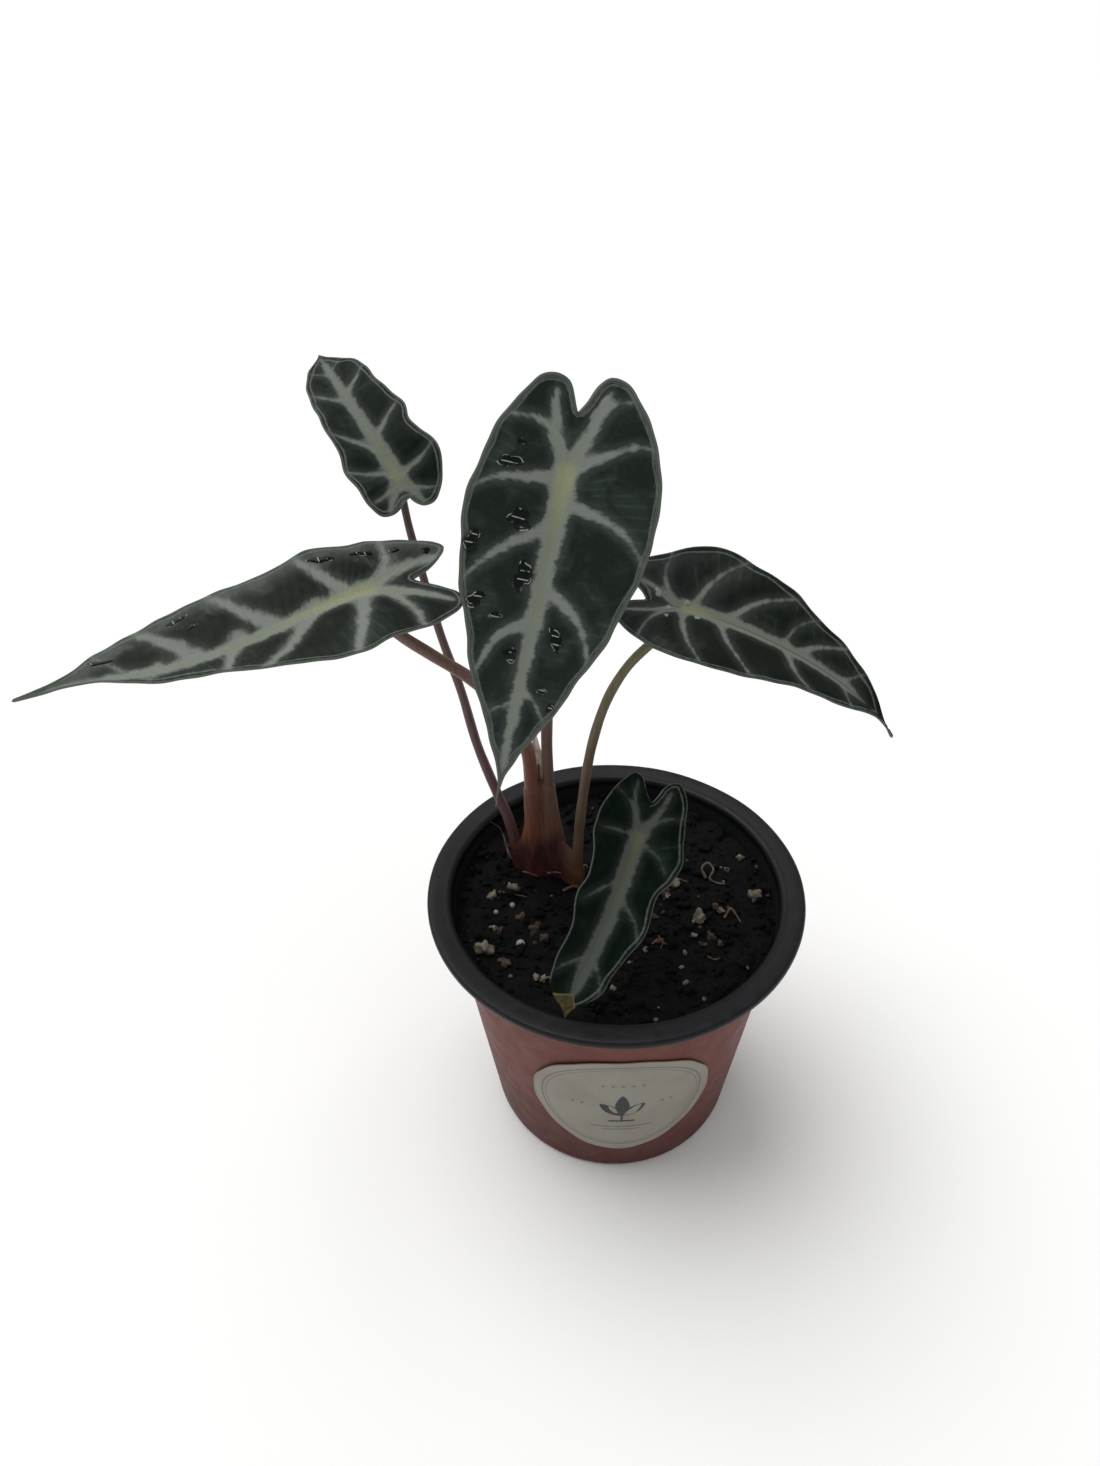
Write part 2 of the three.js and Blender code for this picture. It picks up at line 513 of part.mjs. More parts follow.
function sheathGeometry(extra) {
  const curve = new THREE.CatmullRomCurve3(CATAPHYLL_SPINE.map(([x, y, z]) => new THREE.Vector3(x, y, z)));
  const widths = CATAPHYLL_SPINE.map((row) => row[3]);
  const steps = 12;
  const offsets = [-1, -0.5, 0, 0.5, 1];
  const vertices = [];
  const triangles = [];
  for (let i = 0; i <= steps; i += 1) {
    const t = i / steps;
    const centre = curve.getPoint(t);
    if (i === 0) centre.z -= extra;
    const place = Math.min(t * (widths.length - 1), widths.length - 1 - 1e-6);
    const k = Math.floor(place);
    const half = THREE.MathUtils.lerp(widths[k], widths[k + 1], place - k) + extra;
    for (const back of [0, 1]) {
      for (const offset of offsets) {
        const depth = back ? CATAPHYLL_THICKNESS + extra : -extra;
        const cup = CATAPHYLL_CUP * offset * offset;
        vertices.push(new THREE.Vector3(centre.x + offset * half, centre.y + depth - cup, centre.z));
      }
    }
  }
  const width = offsets.length;
  const at = (i, back, j) => i * 2 * width + back * width + j;
  for (let i = 0; i < steps; i += 1) {
    for (let j = 0; j + 1 < width; j += 1) {
      triangles.push([at(i, 0, j), at(i, 0, j + 1), at(i + 1, 0, j + 1)]);
      triangles.push([at(i, 0, j), at(i + 1, 0, j + 1), at(i + 1, 0, j)]);
      triangles.push([at(i, 1, j), at(i + 1, 1, j + 1), at(i, 1, j + 1)]);
      triangles.push([at(i, 1, j), at(i + 1, 1, j), at(i + 1, 1, j + 1)]);
    }
    const last = width - 1;
    triangles.push([at(i, 0, 0), at(i + 1, 0, 0), at(i + 1, 1, 0)], [at(i, 0, 0), at(i + 1, 1, 0), at(i, 1, 0)]);
    triangles.push([at(i, 0, last), at(i, 1, last), at(i + 1, 1, last)]);
    triangles.push([at(i, 0, last), at(i + 1, 1, last), at(i + 1, 0, last)]);
  }
  for (let j = 0; j + 1 < width; j += 1) {
    triangles.push([at(0, 0, j), at(0, 1, j), at(0, 1, j + 1)], [at(0, 0, j), at(0, 1, j + 1), at(0, 0, j + 1)]);
    triangles.push([at(steps, 0, j), at(steps, 1, j + 1), at(steps, 1, j)]);
    triangles.push([at(steps, 0, j), at(steps, 0, j + 1), at(steps, 1, j + 1)]);
  }
  return closedBody(vertices, triangles);
}

function soilHeight(x, y) {
  const ripple = Math.sin(x * 0.21 + 1.3) * Math.cos(y * 0.17 - 0.4) + 0.6 * Math.sin(x * 0.47 - y * 0.39);
  return SOIL_LEVEL + SOIL_RELIEF * ripple * 0.5;
}

function soilGeometry() {
  const top = potOuterRadius(SOIL_LEVEL) - POT_WALL - CLEARANCE - 0.15;
  const bottomRadius = potOuterRadius(POT_HEEL_RADIUS) - POT_WALL - CLEARANCE - 0.15;
  const floor = POT_WALL + CLEARANCE;
  const ringCount = 9;
  const profile = [[0, floor], [bottomRadius - 2, floor], [bottomRadius, floor + 2.5], [top, SOIL_LEVEL - 2]];
  for (let ring = ringCount; ring >= 0; ring -= 1) profile.push([((top - 0.4) * ring) / ringCount, SOIL_LEVEL]);
  const bed = bareMesh(lathe(profile));
  const position = bed.getAttribute('position');
  for (let i = 0; i < position.count; i += 1) {
    if (position.getZ(i) > SOIL_LEVEL - 1) {
      position.setZ(i, soilHeight(position.getX(i), position.getY(i)));
    }
  }
  let soil = toSolid(bed);
  const draw = drawFrom(CRUMB_SEED);
  for (let i = 0; i < CRUMB_COUNT; i += 1) {
    const angle = 2 * Math.PI * draw();
    const reach = (top - 5) * Math.sqrt(draw());
    const size = 1.3 + 1.9 * draw() ** 2;
    const [x, y] = [reach * Math.cos(angle), reach * Math.sin(angle)];
    const crumb = new THREE.IcosahedronGeometry(size, 0);
    crumb.scale(1 + 0.5 * draw(), 1, 0.8);
    crumb.rotateZ(Math.PI * draw());
    crumb.translate(x, y, soilHeight(x, y) + 0.15 * size);
    const fromStalks = Math.min(...LEAVES.map((leaf) => Math.hypot(x - leaf.stalk[0][0], y - leaf.stalk[0][1])));
    if (fromStalks > 6.5) soil = soil.add(toSolid(crumb));
  }
  soil = soil.subtract(toSolid(cormGeometry(CLEARANCE)));
  for (const leaf of LEAVES) soil = soil.subtract(toSolid(stalkRod(leaf, CLEARANCE, SOCKET_FLOOR)));
  soil = soil.subtract(toSolid(sheathGeometry(CLEARANCE)));
  return toGeometry(soil);
}

function cormWithSockets() {
  let corm = toSolid(cormGeometry(0));
  for (const leaf of LEAVES) corm = corm.subtract(toSolid(stalkRod(leaf, CLEARANCE, SOCKET_FLOOR)));
  corm = corm.subtract(toSolid(sheathGeometry(CLEARANCE)));
  return toGeometry(corm);
}

// Assembly
const plant = new THREE.Group();

function place(name, geometry, material) {
  const mesh = new THREE.Mesh(geometry, material);
  mesh.name = name;
  plant.add(mesh);
}

place('pot', potGeometry(), POT_PLASTIC);
place('label', labelGeometry(), LABEL_PAPER);
place('soil', soilGeometry(), PEAT);
place('corm', cormWithSockets(), CORM_SKIN);
place('cataphyll', sheathGeometry(0), DRY_SHEATH);
for (const leaf of LEAVES) {
  place(`petiole_${leaf.name}`, stalkGeometry(leaf), STALK_SKIN);
  place(`blade_${leaf.name}`, bladeGeometry(leaf, 0, BLADE_THICKNESS), BLADE_GREEN);
}

export default plant;
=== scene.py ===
import math
import random

import bmesh
import bpy
import numpy as np
from mathutils import Matrix, Vector, noise


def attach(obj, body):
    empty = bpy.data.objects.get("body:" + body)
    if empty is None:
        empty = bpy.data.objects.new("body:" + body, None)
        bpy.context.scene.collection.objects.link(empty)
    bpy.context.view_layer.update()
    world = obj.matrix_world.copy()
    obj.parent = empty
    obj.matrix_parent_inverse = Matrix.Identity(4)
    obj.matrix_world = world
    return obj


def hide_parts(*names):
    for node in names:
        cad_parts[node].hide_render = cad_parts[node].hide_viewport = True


bl_info = {
    "name": "Potted Dwarf Alocasia",
    "version": (1, 0, 0),
    "blender": (4, 5, 0),
    "location": "View3D > Sidebar > Alocasia",
    "description": "Builds a small potted alocasia with five patterned leaves over its packed frame",
    "category": "Object",
}

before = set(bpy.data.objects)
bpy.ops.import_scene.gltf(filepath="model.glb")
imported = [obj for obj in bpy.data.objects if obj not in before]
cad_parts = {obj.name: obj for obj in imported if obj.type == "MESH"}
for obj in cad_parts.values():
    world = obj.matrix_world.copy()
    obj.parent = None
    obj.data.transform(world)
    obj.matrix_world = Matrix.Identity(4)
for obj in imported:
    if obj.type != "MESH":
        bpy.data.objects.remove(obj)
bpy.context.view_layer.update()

MM = 0.001
BODY = "root"

# Pot, in millimetres
BASE_RADIUS = 41.5
WALL_TOP_RADIUS = 53.0
RIM_RADIUS = 60.0
WALL = 1.0
DRAINS = 8
DRAIN_RADIUS = 3.5
DRAIN_CIRCLE = 27.0

# Label, wrapped round the tapering wall
LABEL_HEIGHT = 45.5
LABEL_TURN = math.radians(4.8)
LABEL_GAP = 0.3

# Stalk feet stand in the corm under the soil
STALK_FLOOR = 82.5

# Each leaf has its joint (where stalk meets blade), the direction of its midrib, the roll about it,
# the curve down its length, the rise of each half and the midrib's sideways bow and hook. Outlines run
# from the tip to the notch between the lobes, as (across, along) from the joint, in millimetres.
LEAVES = [
    {
        "name": "back", "joint": (-63.5, 38.5, 217.5), "azimuth": 132, "elevation": 36, "roll": -21,
        "length": 58.5, "droop": 38, "fold": 15, "bow": 0, "hook": 1, "wave": 0.6,
        "tip": (0, 58.5), "notch": (0, -6.5),
        "plus": [(1.8, 54), (5.5, 48), (8.5, 43), (10, 37), (10.5, 30), (11.5, 24), (13, 17.5), (12, 13),
                 (12.5, 9), (14.2, 4), (14, -1), (12, -5), (9.5, -8.5), (5.5, -11), (2.5, -10.5), (0.8, -8.5)],
        "minus": [(-2.7, 53.5), (-6.4, 46.5), (-9.5, 40), (-10.3, 34), (-10.5, 28), (-11.5, 21), (-11.2, 14.5),
                  (-12.8, 7), (-12.2, 1), (-12, -4), (-10, -8), (-7, -9), (-4.5, -8.5), (-2, -7)],
        "midrib": (2.8, 0.8), "lobe_width": (1.7, 0.5), "side_width": (1.15, 0.1),
        "lobes": [[(0, 0), (2, -5.5), (3.6, -10)], [(0, 0), (-4, -4.5), (-7.8, -8.4)]],
        "branches": [[(0.8, -2.6), (5, -6.2), (9.2, -8.2)], [(-1.6, -1.8), (-6.5, -3.4), (-11.6, -4)]],
        "sides": [[(0, 33), (5.6, 36.2), (10, 39.5)], [(0, 14), (6, 17.4), (12.9, 21)],
                  [(0, 1), (7.5, 1.3), (14.2, 3.5)], [(0, 30), (-5, 33.6), (-10, 38)],
                  [(0, 10.5), (-6, 16), (-11.4, 22)], [(0, 2), (-7, 4.4), (-12.8, 7.6)]],
        "thin": [[(0, 45.5), (5.6, 49)], [(0, 44), (-6.2, 47.2)]],
        "feather": 0.8, "cream": 0.5, "tint": (0.62, 0.68, 0.62), "vein_tint": 0.85, "tip_end": 0.985,
        "collector": (1.35, 1.35), "margin_line": 0.88, "margin_tint": 0.95, "shine": 0.05, "soft": 1.2,
        "stalk": [(-32.2, 16, 88), (-35.2, 18, 106), (-38.8, 20, 116), (-44.6, 23, 134), (-48.8, 26, 153),
                  (-54, 29, 171.5), (-58, 32.5, 188.5), (-61.5, 36.5, 203)],
        "foot_radius": 1.9, "head_radius": 1.1,
    },
    {
        "name": "left", "joint": (-66, -4, 206.8), "azimuth": 214, "elevation": 2, "roll": -10,
        "length": 87, "droop": 8, "fold": 9, "bow": -4, "hook": 2, "wave": 0.9,
        "tip": (0, 87), "notch": (0, -13),
        "plus": [(1, 80), (2.9, 74.5), (7.3, 67), (10.5, 59), (12.5, 51), (14.5, 42.5), (16.3, 35), (16.3, 26),
                 (16.8, 17), (18, 9), (16.8, 1), (16.8, -7), (14.5, -14.5), (11.5, -22), (8, -26),
                 (4.5, -23.5), (1.8, -18.5)],
        "minus": [(-0.6, 80), (-1, 72), (-3.1, 65), (-6, 58.5), (-8, 50), (-11, 41.5), (-15, 34), (-18, 26.5),
                  (-22, 16.5), (-23.8, 9), (-22.8, 1), (-22.7, -7), (-20, -15), (-15.5, -20.5), (-10, -21.3),
                  (-6, -17.5), (-2.5, -14)],
        "midrib": (2.8, 1.5), "lobe_width": (2.5, 1.1), "side_width": (2.3, 0.9),
        "lobes": [[(0, 0), (4, -9), (5.2, -17), (5.6, -24)], [(0, 0), (-4.5, -8.3), (-9.5, -14.6), (-14.3, -19.6)]],
        "branches": [[(3, -6), (9.5, -9.6), (16.4, -11)], [(-2.9, -5.2), (-13, -7.6), (-22.6, -6.6)]],
        "sides": [[(0, 4), (9.5, 8.9), (17.9, 13.8)], [(0, 25.5), (6.2, 30.1), (12.3, 34.3), (16.2, 37.6)],
                  [(0, 46), (6, 51), (11.3, 57)], [(0, 0.5), (-13, 6.2), (-23.6, 11.8)],
                  [(0, 14), (-5.3, 19.1), (-10.6, 24.7), (-15.5, 32.6)], [(0, 34.5), (-5.3, 38), (-11.5, 40.8)]],
        "thin": [[(0, 62), (7.2, 67.6)], [(0, 54), (-6.2, 57.8)]],
        "feather": 1.3, "cream": 0.8, "tint": (0.62, 0.62, 0.56), "vein_tint": 1.0, "tip_end": 0.96,
        # This leaf's painted sheen share sets how strongly glare is painted on its far side.
        "collector": (1.0, 1.0), "painted_sheen": 0.55, "shine": 0.08, "rib_shift": -2.8, "soft": 1.8, "glow": 0.7,
        "stalk": [(-26.3, 14.5, 88), (-26.6, 14.2, 110), (-27, 13.4, 128.5), (-27.8, 11, 144), (-33, 7, 160.5),
                  (-41.7, 2.5, 175), (-51, -2, 186), (-59.5, -3.8, 194.5)],
        "foot_radius": 2.7, "head_radius": 1.5,
    },
    {
        "name": "centre", "joint": (-15, 13.5, 232), "azimuth": 251, "elevation": -55, "roll": -30,
        "length": 88, "droop": 18, "fold": 10, "bow": 0, "hook": -2, "wave": 0.7,
        "tip": (0, 92), "notch": (0, -15),
        "plus": [(1.2, 82), (3.5, 75.5), (7.5, 66.5), (11.5, 59), (15, 51), (18.5, 40), (21.5, 32), (23.2, 23),
                 (24.4, 10), (22.4, 1), (19.4, -9), (15.5, -16), (11, -21.5), (7, -23), (3.5, -22), (1.5, -18.5)],
        "minus": [(-1.2, 82), (-3.5, 75.5), (-7.5, 68), (-11.5, 60), (-15, 51.5), (-19, 42), (-22, 32),
                  (-24.5, 22), (-25.8, 12), (-24.5, -1), (-21.5, -11), (-16.5, -19), (-11.5, -24.5),
                  (-7, -25.2), (-4, -23), (-1.8, -18)],
        "midrib": (3.5, 0.9), "lobe_width": (2.3, 0.8), "side_width": (1.95, 0.1),
        "lobes": [[(0, 0), (4.2, -8), (5.8, -15), (6.8, -20.5)], [(0, 0), (-3.7, -9), (-5.9, -16.6), (-8, -23)]],
        "branches": [[(3.4, -6.6), (9, -11), (19.4, -10.2)], [(-5.5, -15.5), (-9, -18.6), (-13.6, -20.6)]],
        "sides": [[(0, 1.2), (9, 3.2), (17.1, 5), (25.2, 10.2)], [(0, 13.5), (12.6, 21.9), (20.1, 29.9), (22.4, 34)],
                  [(0, 38), (8.5, 43.9), (12.4, 52.7), (13.4, 56)], [(0, -0.5), (-11.5, -7.2), (-16.9, -9.8), (-22.2, -9.4)],
                  [(0, 6.5), (-4.1, 8), (-12.5, 10), (-19.7, 13.5), (-25, 19.5)],
                  [(0, 29.5), (-8.7, 34), (-13.1, 38.7), (-16.1, 46.1), (-17, 48.5)]],
        "thin": [[(0, 60), (6.3, 64.1), (8.2, 66.6)], [(0, 56), (-5, 60), (-8.8, 65.2)]],
        "feather": 1.3, "cream": 0.9, "tint": (1.05, 1.05, 1.05), "vein_tint": 1.05, "tip_end": 1.04,
        "collector": (1.5, 1.55), "margin_line": 1.4, "margin_tint": 0.85, "shine": 0.12, "glow": 0.45, "soft": 1.3,
        "stalk": [(-20, 15.5, 88), (-21, 15.5, 103), (-21.8, 15.5, 127), (-21.8, 16, 146), (-20.5, 18, 175),
                  (-18.2, 19.5, 203), (-16, 19, 222)],
        "foot_radius": 2, "head_radius": 1.6,
    },
    {
        "name": "right", "joint": (17, 9.5, 194.5), "azimuth": -19, "elevation": -4, "roll": 17,
        "length": 66.5, "droop": 40, "fold": 14, "bow": 0.7, "hook": 6.4, "wave": 1.1,
        "tip": (0, 66.5), "notch": (0, -11),
        "plus": [(0.3, 61), (3, 55), (6.5, 49), (10, 41.5), (13, 32.5), (16.5, 22.5), (19.5, 13), (20.8, 6),
                 (19.5, -1), (16.5, -7), (12.5, -13.5), (8, -18), (5, -19.8), (2.5, -17), (0.8, -13)],
        "minus": [(-1.5, 61), (-4.5, 55), (-8, 48), (-11, 41), (-12.3, 34), (-15.5, 26), (-18.5, 15.5),
                  (-20.5, 6.5), (-19, -1), (-16, -8.5), (-13.5, -15), (-11.5, -20.5), (-9.5, -21.5),
                  (-6.5, -18.5), (-3, -13.5)],
        "midrib": (2.3, 1.0), "lobe_width": (1.4, 0.3), "side_width": (1.05, 0.08),
        "lobes": [[(0, 0), (3.4, -8), (6.2, -17.8)], [(0, 0), (-4.2, -9.5), (-8.4, -19.6)]],
        "branches": [[(1.9, -4.6), (8, -7.8), (16, -8)], [(-2.4, -5), (-9, -8.4), (-16, -8.5)]],
        "sides": [[(0, -0.5), (5.5, 0.9), (12.8, 4.5), (20.1, 10)], [(0, 9), (9, 15.1), (16.3, 23)],
                  [(0, 28.5), (7.8, 33.8), (11.2, 39.3)], [(0, 1), (-11.7, 5.5), (-19.5, 11.6)],
                  [(0, 11), (-8.6, 17.6), (-14.6, 27.5)], [(0, 31.5), (-4.8, 36.4), (-9.6, 44.3)]],
        "thin": [[(0, 45.5), (5.4, 51.4)], [(0, 27.5), (-7.3, 29.4), (-12, 34)], [(0, 45.5), (-6.3, 51.2)]],
        "feather": 0.7, "cream": 0.8, "tint": (0.52, 0.52, 0.52), "vein_tint": 0.78, "tip_end": 0.86,
        "collector": (0.8, 1.5), "groove": 0.5, "shine": 0.08,
        "stalk": [(-12.6, 8, 87), (-12, 8, 108), (-11, 8, 121.5), (-9.3, 8, 137.5), (-7.8, 8, 147.5),
                  (-5.2, 8, 159), (-2.2, 8.5, 167.5), (2.7, 9, 176.5), (9, 9.3, 184)],
        "foot_radius": 1.8, "head_radius": 1.3,
    },
    {
        "name": "front", "joint": (6.5, -15, 133.5), "azimuth": 249, "elevation": -20, "roll": -26,
        "length": 56.5, "droop": 33, "fold": 14, "bow": -1.5, "hook": -3.5, "wave": 0.5,
        "tip": (0, 56), "notch": (0, -11),
        "plus": [(2.2, 54.3), (4.5, 52.8), (6.7, 51.8), (8.2, 48), (8.9, 43.5), (9, 37.5), (9.3, 32), (11.2, 27),
                 (11.6, 23), (10.3, 17), (12, 10.5), (13.8, 6), (14, 0), (13.2, -7), (11, -13), (8.3, -16.5),
                 (5.8, -16.8), (3.3, -14), (1.3, -11.6)],
        "minus": [(-1.9, 53), (-4.9, 49), (-7.1, 45), (-7.7, 40.5), (-8.8, 35.5), (-10.5, 29.3), (-11.2, 24),
                  (-10.7, 19), (-11.3, 14), (-13.5, 9.5), (-14.5, 4.5), (-13.2, -1), (-12, -6), (-10.5, -12.5),
                  (-8.5, -18), (-6, -20.6), (-4, -20), (-2.2, -17.5), (-1, -13.8)],
        "midrib": (2.8, 1.8), "lobe_width": (1.6, 0.25), "side_width": (0.55, 0.05),
        "lobes": [[(0, 0), (3.1, -4.3), (5.8, -10.6), (6.6, -15.6)], [(0, 0), (-3, -7.5), (-4.8, -18)]],
        "branches": [[(4.2, -6.6), (8.5, -8.4), (12.2, -9.3)], [(-1.6, -3.6), (-6, -7.6), (-10.6, -9.6)]],
        "sides": [[(0, 0.5), (8.8, 2.9), (11.6, 4)], [(0, 14.5), (5, 19), (9.3, 24.2)], [(0, 37), (5.1, 41.4), (7.6, 44.6)],
                  [(0, 1.5), (-7.2, 4.4), (-10.6, 7.6)], [(0, 19), (-7, 23.4), (-10, 28.4)],
                  [(0, 37.5), (-5.1, 42), (-6.6, 45.8)]],
        "thin": [],
        # The front leaf's low tint and vein tint darken its whole blade: painted shade, as it lies under the centre
        # leaf.
        "feather": 1.1, "cream": 0.9, "tint": (0.16, 0.33, 0.23), "vein_tint": 0.4, "tip_end": 0.93,
        "collector": (-5, 1.3), "margin_line": 0.55, "margin_tint": 0.72, "shine": 0.05, "soft": 1.3,
        "stalk": [(-6.5, 10.5, 88), (-5.6, 8.5, 99), (-3.6, 4.5, 110), (-0.6, -2, 119), (3, -8.5, 125.5)],
        "foot_radius": 1.6, "head_radius": 1.2,
    },
]

# Water left on the leaves after watering, as (leaf, across, along, half length, half width, turn)
WATER = [
    ("centre", 15.0, 0.8, 2.9, 1.5, 10), ("centre", 9.5, 14.0, 3.4, 2.3, -6), ("centre", 20.6, 21.6, 2.0, 2.5, 0),
    ("centre", 5.4, 27.5, 2.3, 3.4, 12), ("centre", 16.6, 35.5, 2.5, 1.7, 25), ("centre", 10.4, 38.5, 1.5, 0.9, 0),
    ("centre", -6.6, 41.8, 1.5, 3.0, 35), ("centre", 4.3, 48.0, 1.7, 2.1, -20), ("centre", -6.0, 56.0, 1.2, 0.8, 0),
    ("centre", -9.0, 60.0, 0.9, 1.2, 0), ("centre", 13.0, -4.5, 1.0, 0.8, 0), ("right", 1.2, -4.3, 0.8, 0.8, 0),
    ("right", 4.8, -3.7, 0.6, 0.7, 0), ("right", -1.8, 0.0, 0.9, 0.7, 30), ("right", 2.5, 4.1, 0.9, 0.7, 0),
    ("right", -3.0, -8.5, 0.9, 1.5, -40), ("left", 13.5, 6.8, 1.0, 3.2, -25),
    ("left", 12.0, -4.2, 0.8, 2.8, -10), ("left", 11.0, -12.5, 0.8, 1.6, 0), ("left", 10.4, 46.5, 0.8, 2.6, 12),
    ("left", 7.6, 43.5, 0.6, 1.6, 10), ("left", 4.4, 66.5, 0.5, 2.6, -5), ("left", 8.0, -21.0, 0.9, 1.4, 0),
]

# Bits that show on the soil, as (kind, x, y, size)
SOIL_BITS = [
    ("perlite", -33, 3, 1.8), ("perlite", -40, 1, 1.4), ("perlite", -40, -22, 2.5), ("perlite", 45, 4, 2.1),
    ("perlite", 27, -6, 1.8), ("perlite", 19, 9, 2.0), ("bead", -29, -19, 1.4), ("bead", -38, -6, 0.8),
    ("bead", -33, -3, 0.9), ("bark", -30, -8, 1.6), ("bark", -25, -12, 1.9), ("bark", -22, -16, 1.6),
    ("bark", -33, -27, 1.6), ("bark", 16, 5, 2.3), ("perlite", 42, 22, 1.1), ("perlite", 37, 16, 0.8),
    ("bark", 30, -13, 1.5), ("bark", 33, -15, 1.2), ("perlite", 25, -13, 0.8), ("bark", 12, -5, 1.4),
    ("bark", 14, -16, 1.1), ("perlite", 10, -19, 0.8), ("perlite", 22, -20, 0.7), ("perlite", 22, -31, 0.9),
    ("perlite", 0, -35, 0.8), ("perlite", -23, -32, 1.0), ("perlite", -21, -32, 0.9), ("bark", 32, -1, 1.5),
    ("perlite", -38, -13, 1.0), ("perlite", 5, -24, 0.6), ("bark", -36, -14, 1.0), ("perlite", 34, -2, 1.2),
    ("perlite", 17, 3, 1.1), ("bark", 28, -16, 1.0), ("perlite", 12, 1, 1.0),
]


# Colours are named as they look on a screen and used as light
def shade(red, green, blue):
    """Turns a screen colour of 0 to 255 a channel into linear light."""
    def linear(level):
        level /= 255
        return level / 12.92 if level <= 0.04045 else ((level + 0.055) / 1.055) ** 2.4
    return linear(red), linear(green), linear(blue)


# Curves and distances
def smooth_line(points, count):
    """Gives count points, evenly spaced, on the smooth curve through the given points."""
    points = np.asarray(points, float)
    padded = np.vstack([2 * points[0] - points[1], points, 2 * points[-1] - points[-2]])
    dense = []
    for p0, p1, p2, p3 in zip(padded, padded[1:], padded[2:], padded[3:]):
        knots = np.cumsum([0] + [math.sqrt(np.linalg.norm(b - a)) for a, b in ((p0, p1), (p1, p2), (p2, p3))])
        t0, t1, t2, t3 = knots
        t = np.linspace(t1, t2, 24, endpoint=False)[:, None]
        a1 = (t1 - t) / (t1 - t0) * p0 + (t - t0) / (t1 - t0) * p1
        a2 = (t2 - t) / (t2 - t1) * p1 + (t - t1) / (t2 - t1) * p2
        a3 = (t3 - t) / (t3 - t2) * p2 + (t - t2) / (t3 - t2) * p3
        b1 = (t2 - t) / (t2 - t0) * a1 + (t - t0) / (t2 - t0) * a2
        b2 = (t3 - t) / (t3 - t1) * a2 + (t - t1) / (t3 - t1) * a3
        dense.append((t2 - t) / (t2 - t1) * b1 + (t - t1) / (t2 - t1) * b2)
    dense = np.vstack(dense + [points[-1:]])
    reach = np.concatenate([[0], np.cumsum(np.linalg.norm(np.diff(dense, axis=0), axis=1))])
    even = np.linspace(0, reach[-1], count)
    return np.column_stack([np.interp(even, reach, column) for column in dense.T])


def line_distance(points, line):
    """Gives each point's distance to a line of points and how far along the line its nearest place is."""
    best = np.full(len(points), 1e9)
    share = np.zeros(len(points))
    last = len(line) - 1
    for i, (start, end) in enumerate(zip(line, line[1:])):
        run = end - start
        t = np.clip((points - start) @ run / max(run @ run, 1e-12), 0, 1)
        gap = np.linalg.norm(points - start - t[:, None] * run, axis=1)
        nearer = gap < best
        best[nearer] = gap[nearer]
        share[nearer] = (i + t[nearer]) / last
    return best, share


def smoothstep(low, high, value):
    t = np.clip((value - low) / (high - low), 0, 1)
    return t * t * (3 - 2 * t)


def soft_min(a, b, softness):
    h = np.clip(0.5 + 0.5 * (b - a) / softness, 0, 1)
    return b * (1 - h) + a * h - softness * h * (1 - h)


def carry_frames(line):
    """Gives two cross directions for each point of a line, turned as little as possible along it."""
    tangents = np.gradient(line, axis=0)
    tangents /= np.linalg.norm(tangents, axis=1)[:, None]
    across = np.cross(tangents[0], (0.0, 1.0, 0.0))
    first = []
    for tangent in tangents:
        across = across - tangent * (across @ tangent)
        across = across / np.linalg.norm(across)
        first.append(across)
    first = np.array(first)
    return first, np.cross(tangents, first)


# Meshes
def set_places(bm, places):
    for vert, place in zip(bm.verts, places):
        vert.co = Vector(place) * MM


def places_of(bm):
    return np.array([vert.co[:] for vert in bm.verts])


def store(bm, name, values):
    """Keeps one number or one vector for each vertex as a named attribute of the mesh."""
    if np.ndim(values) == 2:
        layer = bm.verts.layers.float_vector.new(name)
        for vert, value in zip(bm.verts, values):
            vert[layer] = Vector(value)
    else:
        layer = bm.verts.layers.float.new(name)
        for vert, value in zip(bm.verts, values):
            vert[layer] = float(value)


def thicken(bm, under):
    """Closes a sheet into a thin body: a copy of each vertex goes to its place in under, and walls join them."""
    order = bm.verts.layers.int.new("order")
    for i, vert in enumerate(bm.verts):
        vert[order] = i
    region = bmesh.ops.extrude_face_region(bm, geom=bm.faces[:] + bm.edges[:] + bm.verts[:], use_keep_orig=True)
    lower = {item for item in region["geom"] if isinstance(item, bmesh.types.BMVert)}
    for vert in lower:
        vert.co = Vector(under[vert[order]]) * MM
    for face in bm.faces:
        face.material_index = 1 if all(vert in lower for vert in face.verts) else 0
    bm.verts.layers.int.remove(order)
    bmesh.ops.recalc_face_normals(bm, faces=bm.faces[:])


def tube(bm, line, radii, sides, flat=1.0, ridge=0.0):
    """Adds a closed round body along a line; flat squeezes it front to back and ridge gives it soft flutes."""
    rings = len(line) - 1
    made = bmesh.ops.create_grid(bm, x_segments=sides, y_segments=rings, size=1)["verts"]
    first, second = carry_frames(line)
    flats = np.broadcast_to(flat, len(line))
    for vert in made:
        turn = math.pi * (vert.co.x + 1)
        ring = round((vert.co.y + 1) / 2 * rings)
        reach = radii[ring] * (1 + ridge * math.cos(7 * turn))
        place = line[ring] + reach * (math.cos(turn) * first[ring] + flats[ring] * math.sin(turn) * second[ring])
        vert.co = Vector(place) * MM
    bmesh.ops.remove_doubles(bm, verts=made, dist=1e-7)
    bmesh.ops.holes_fill(bm, edges=[edge for edge in bm.edges if edge.is_boundary], sides=0)
    bmesh.ops.recalc_face_normals(bm, faces=bm.faces[:])


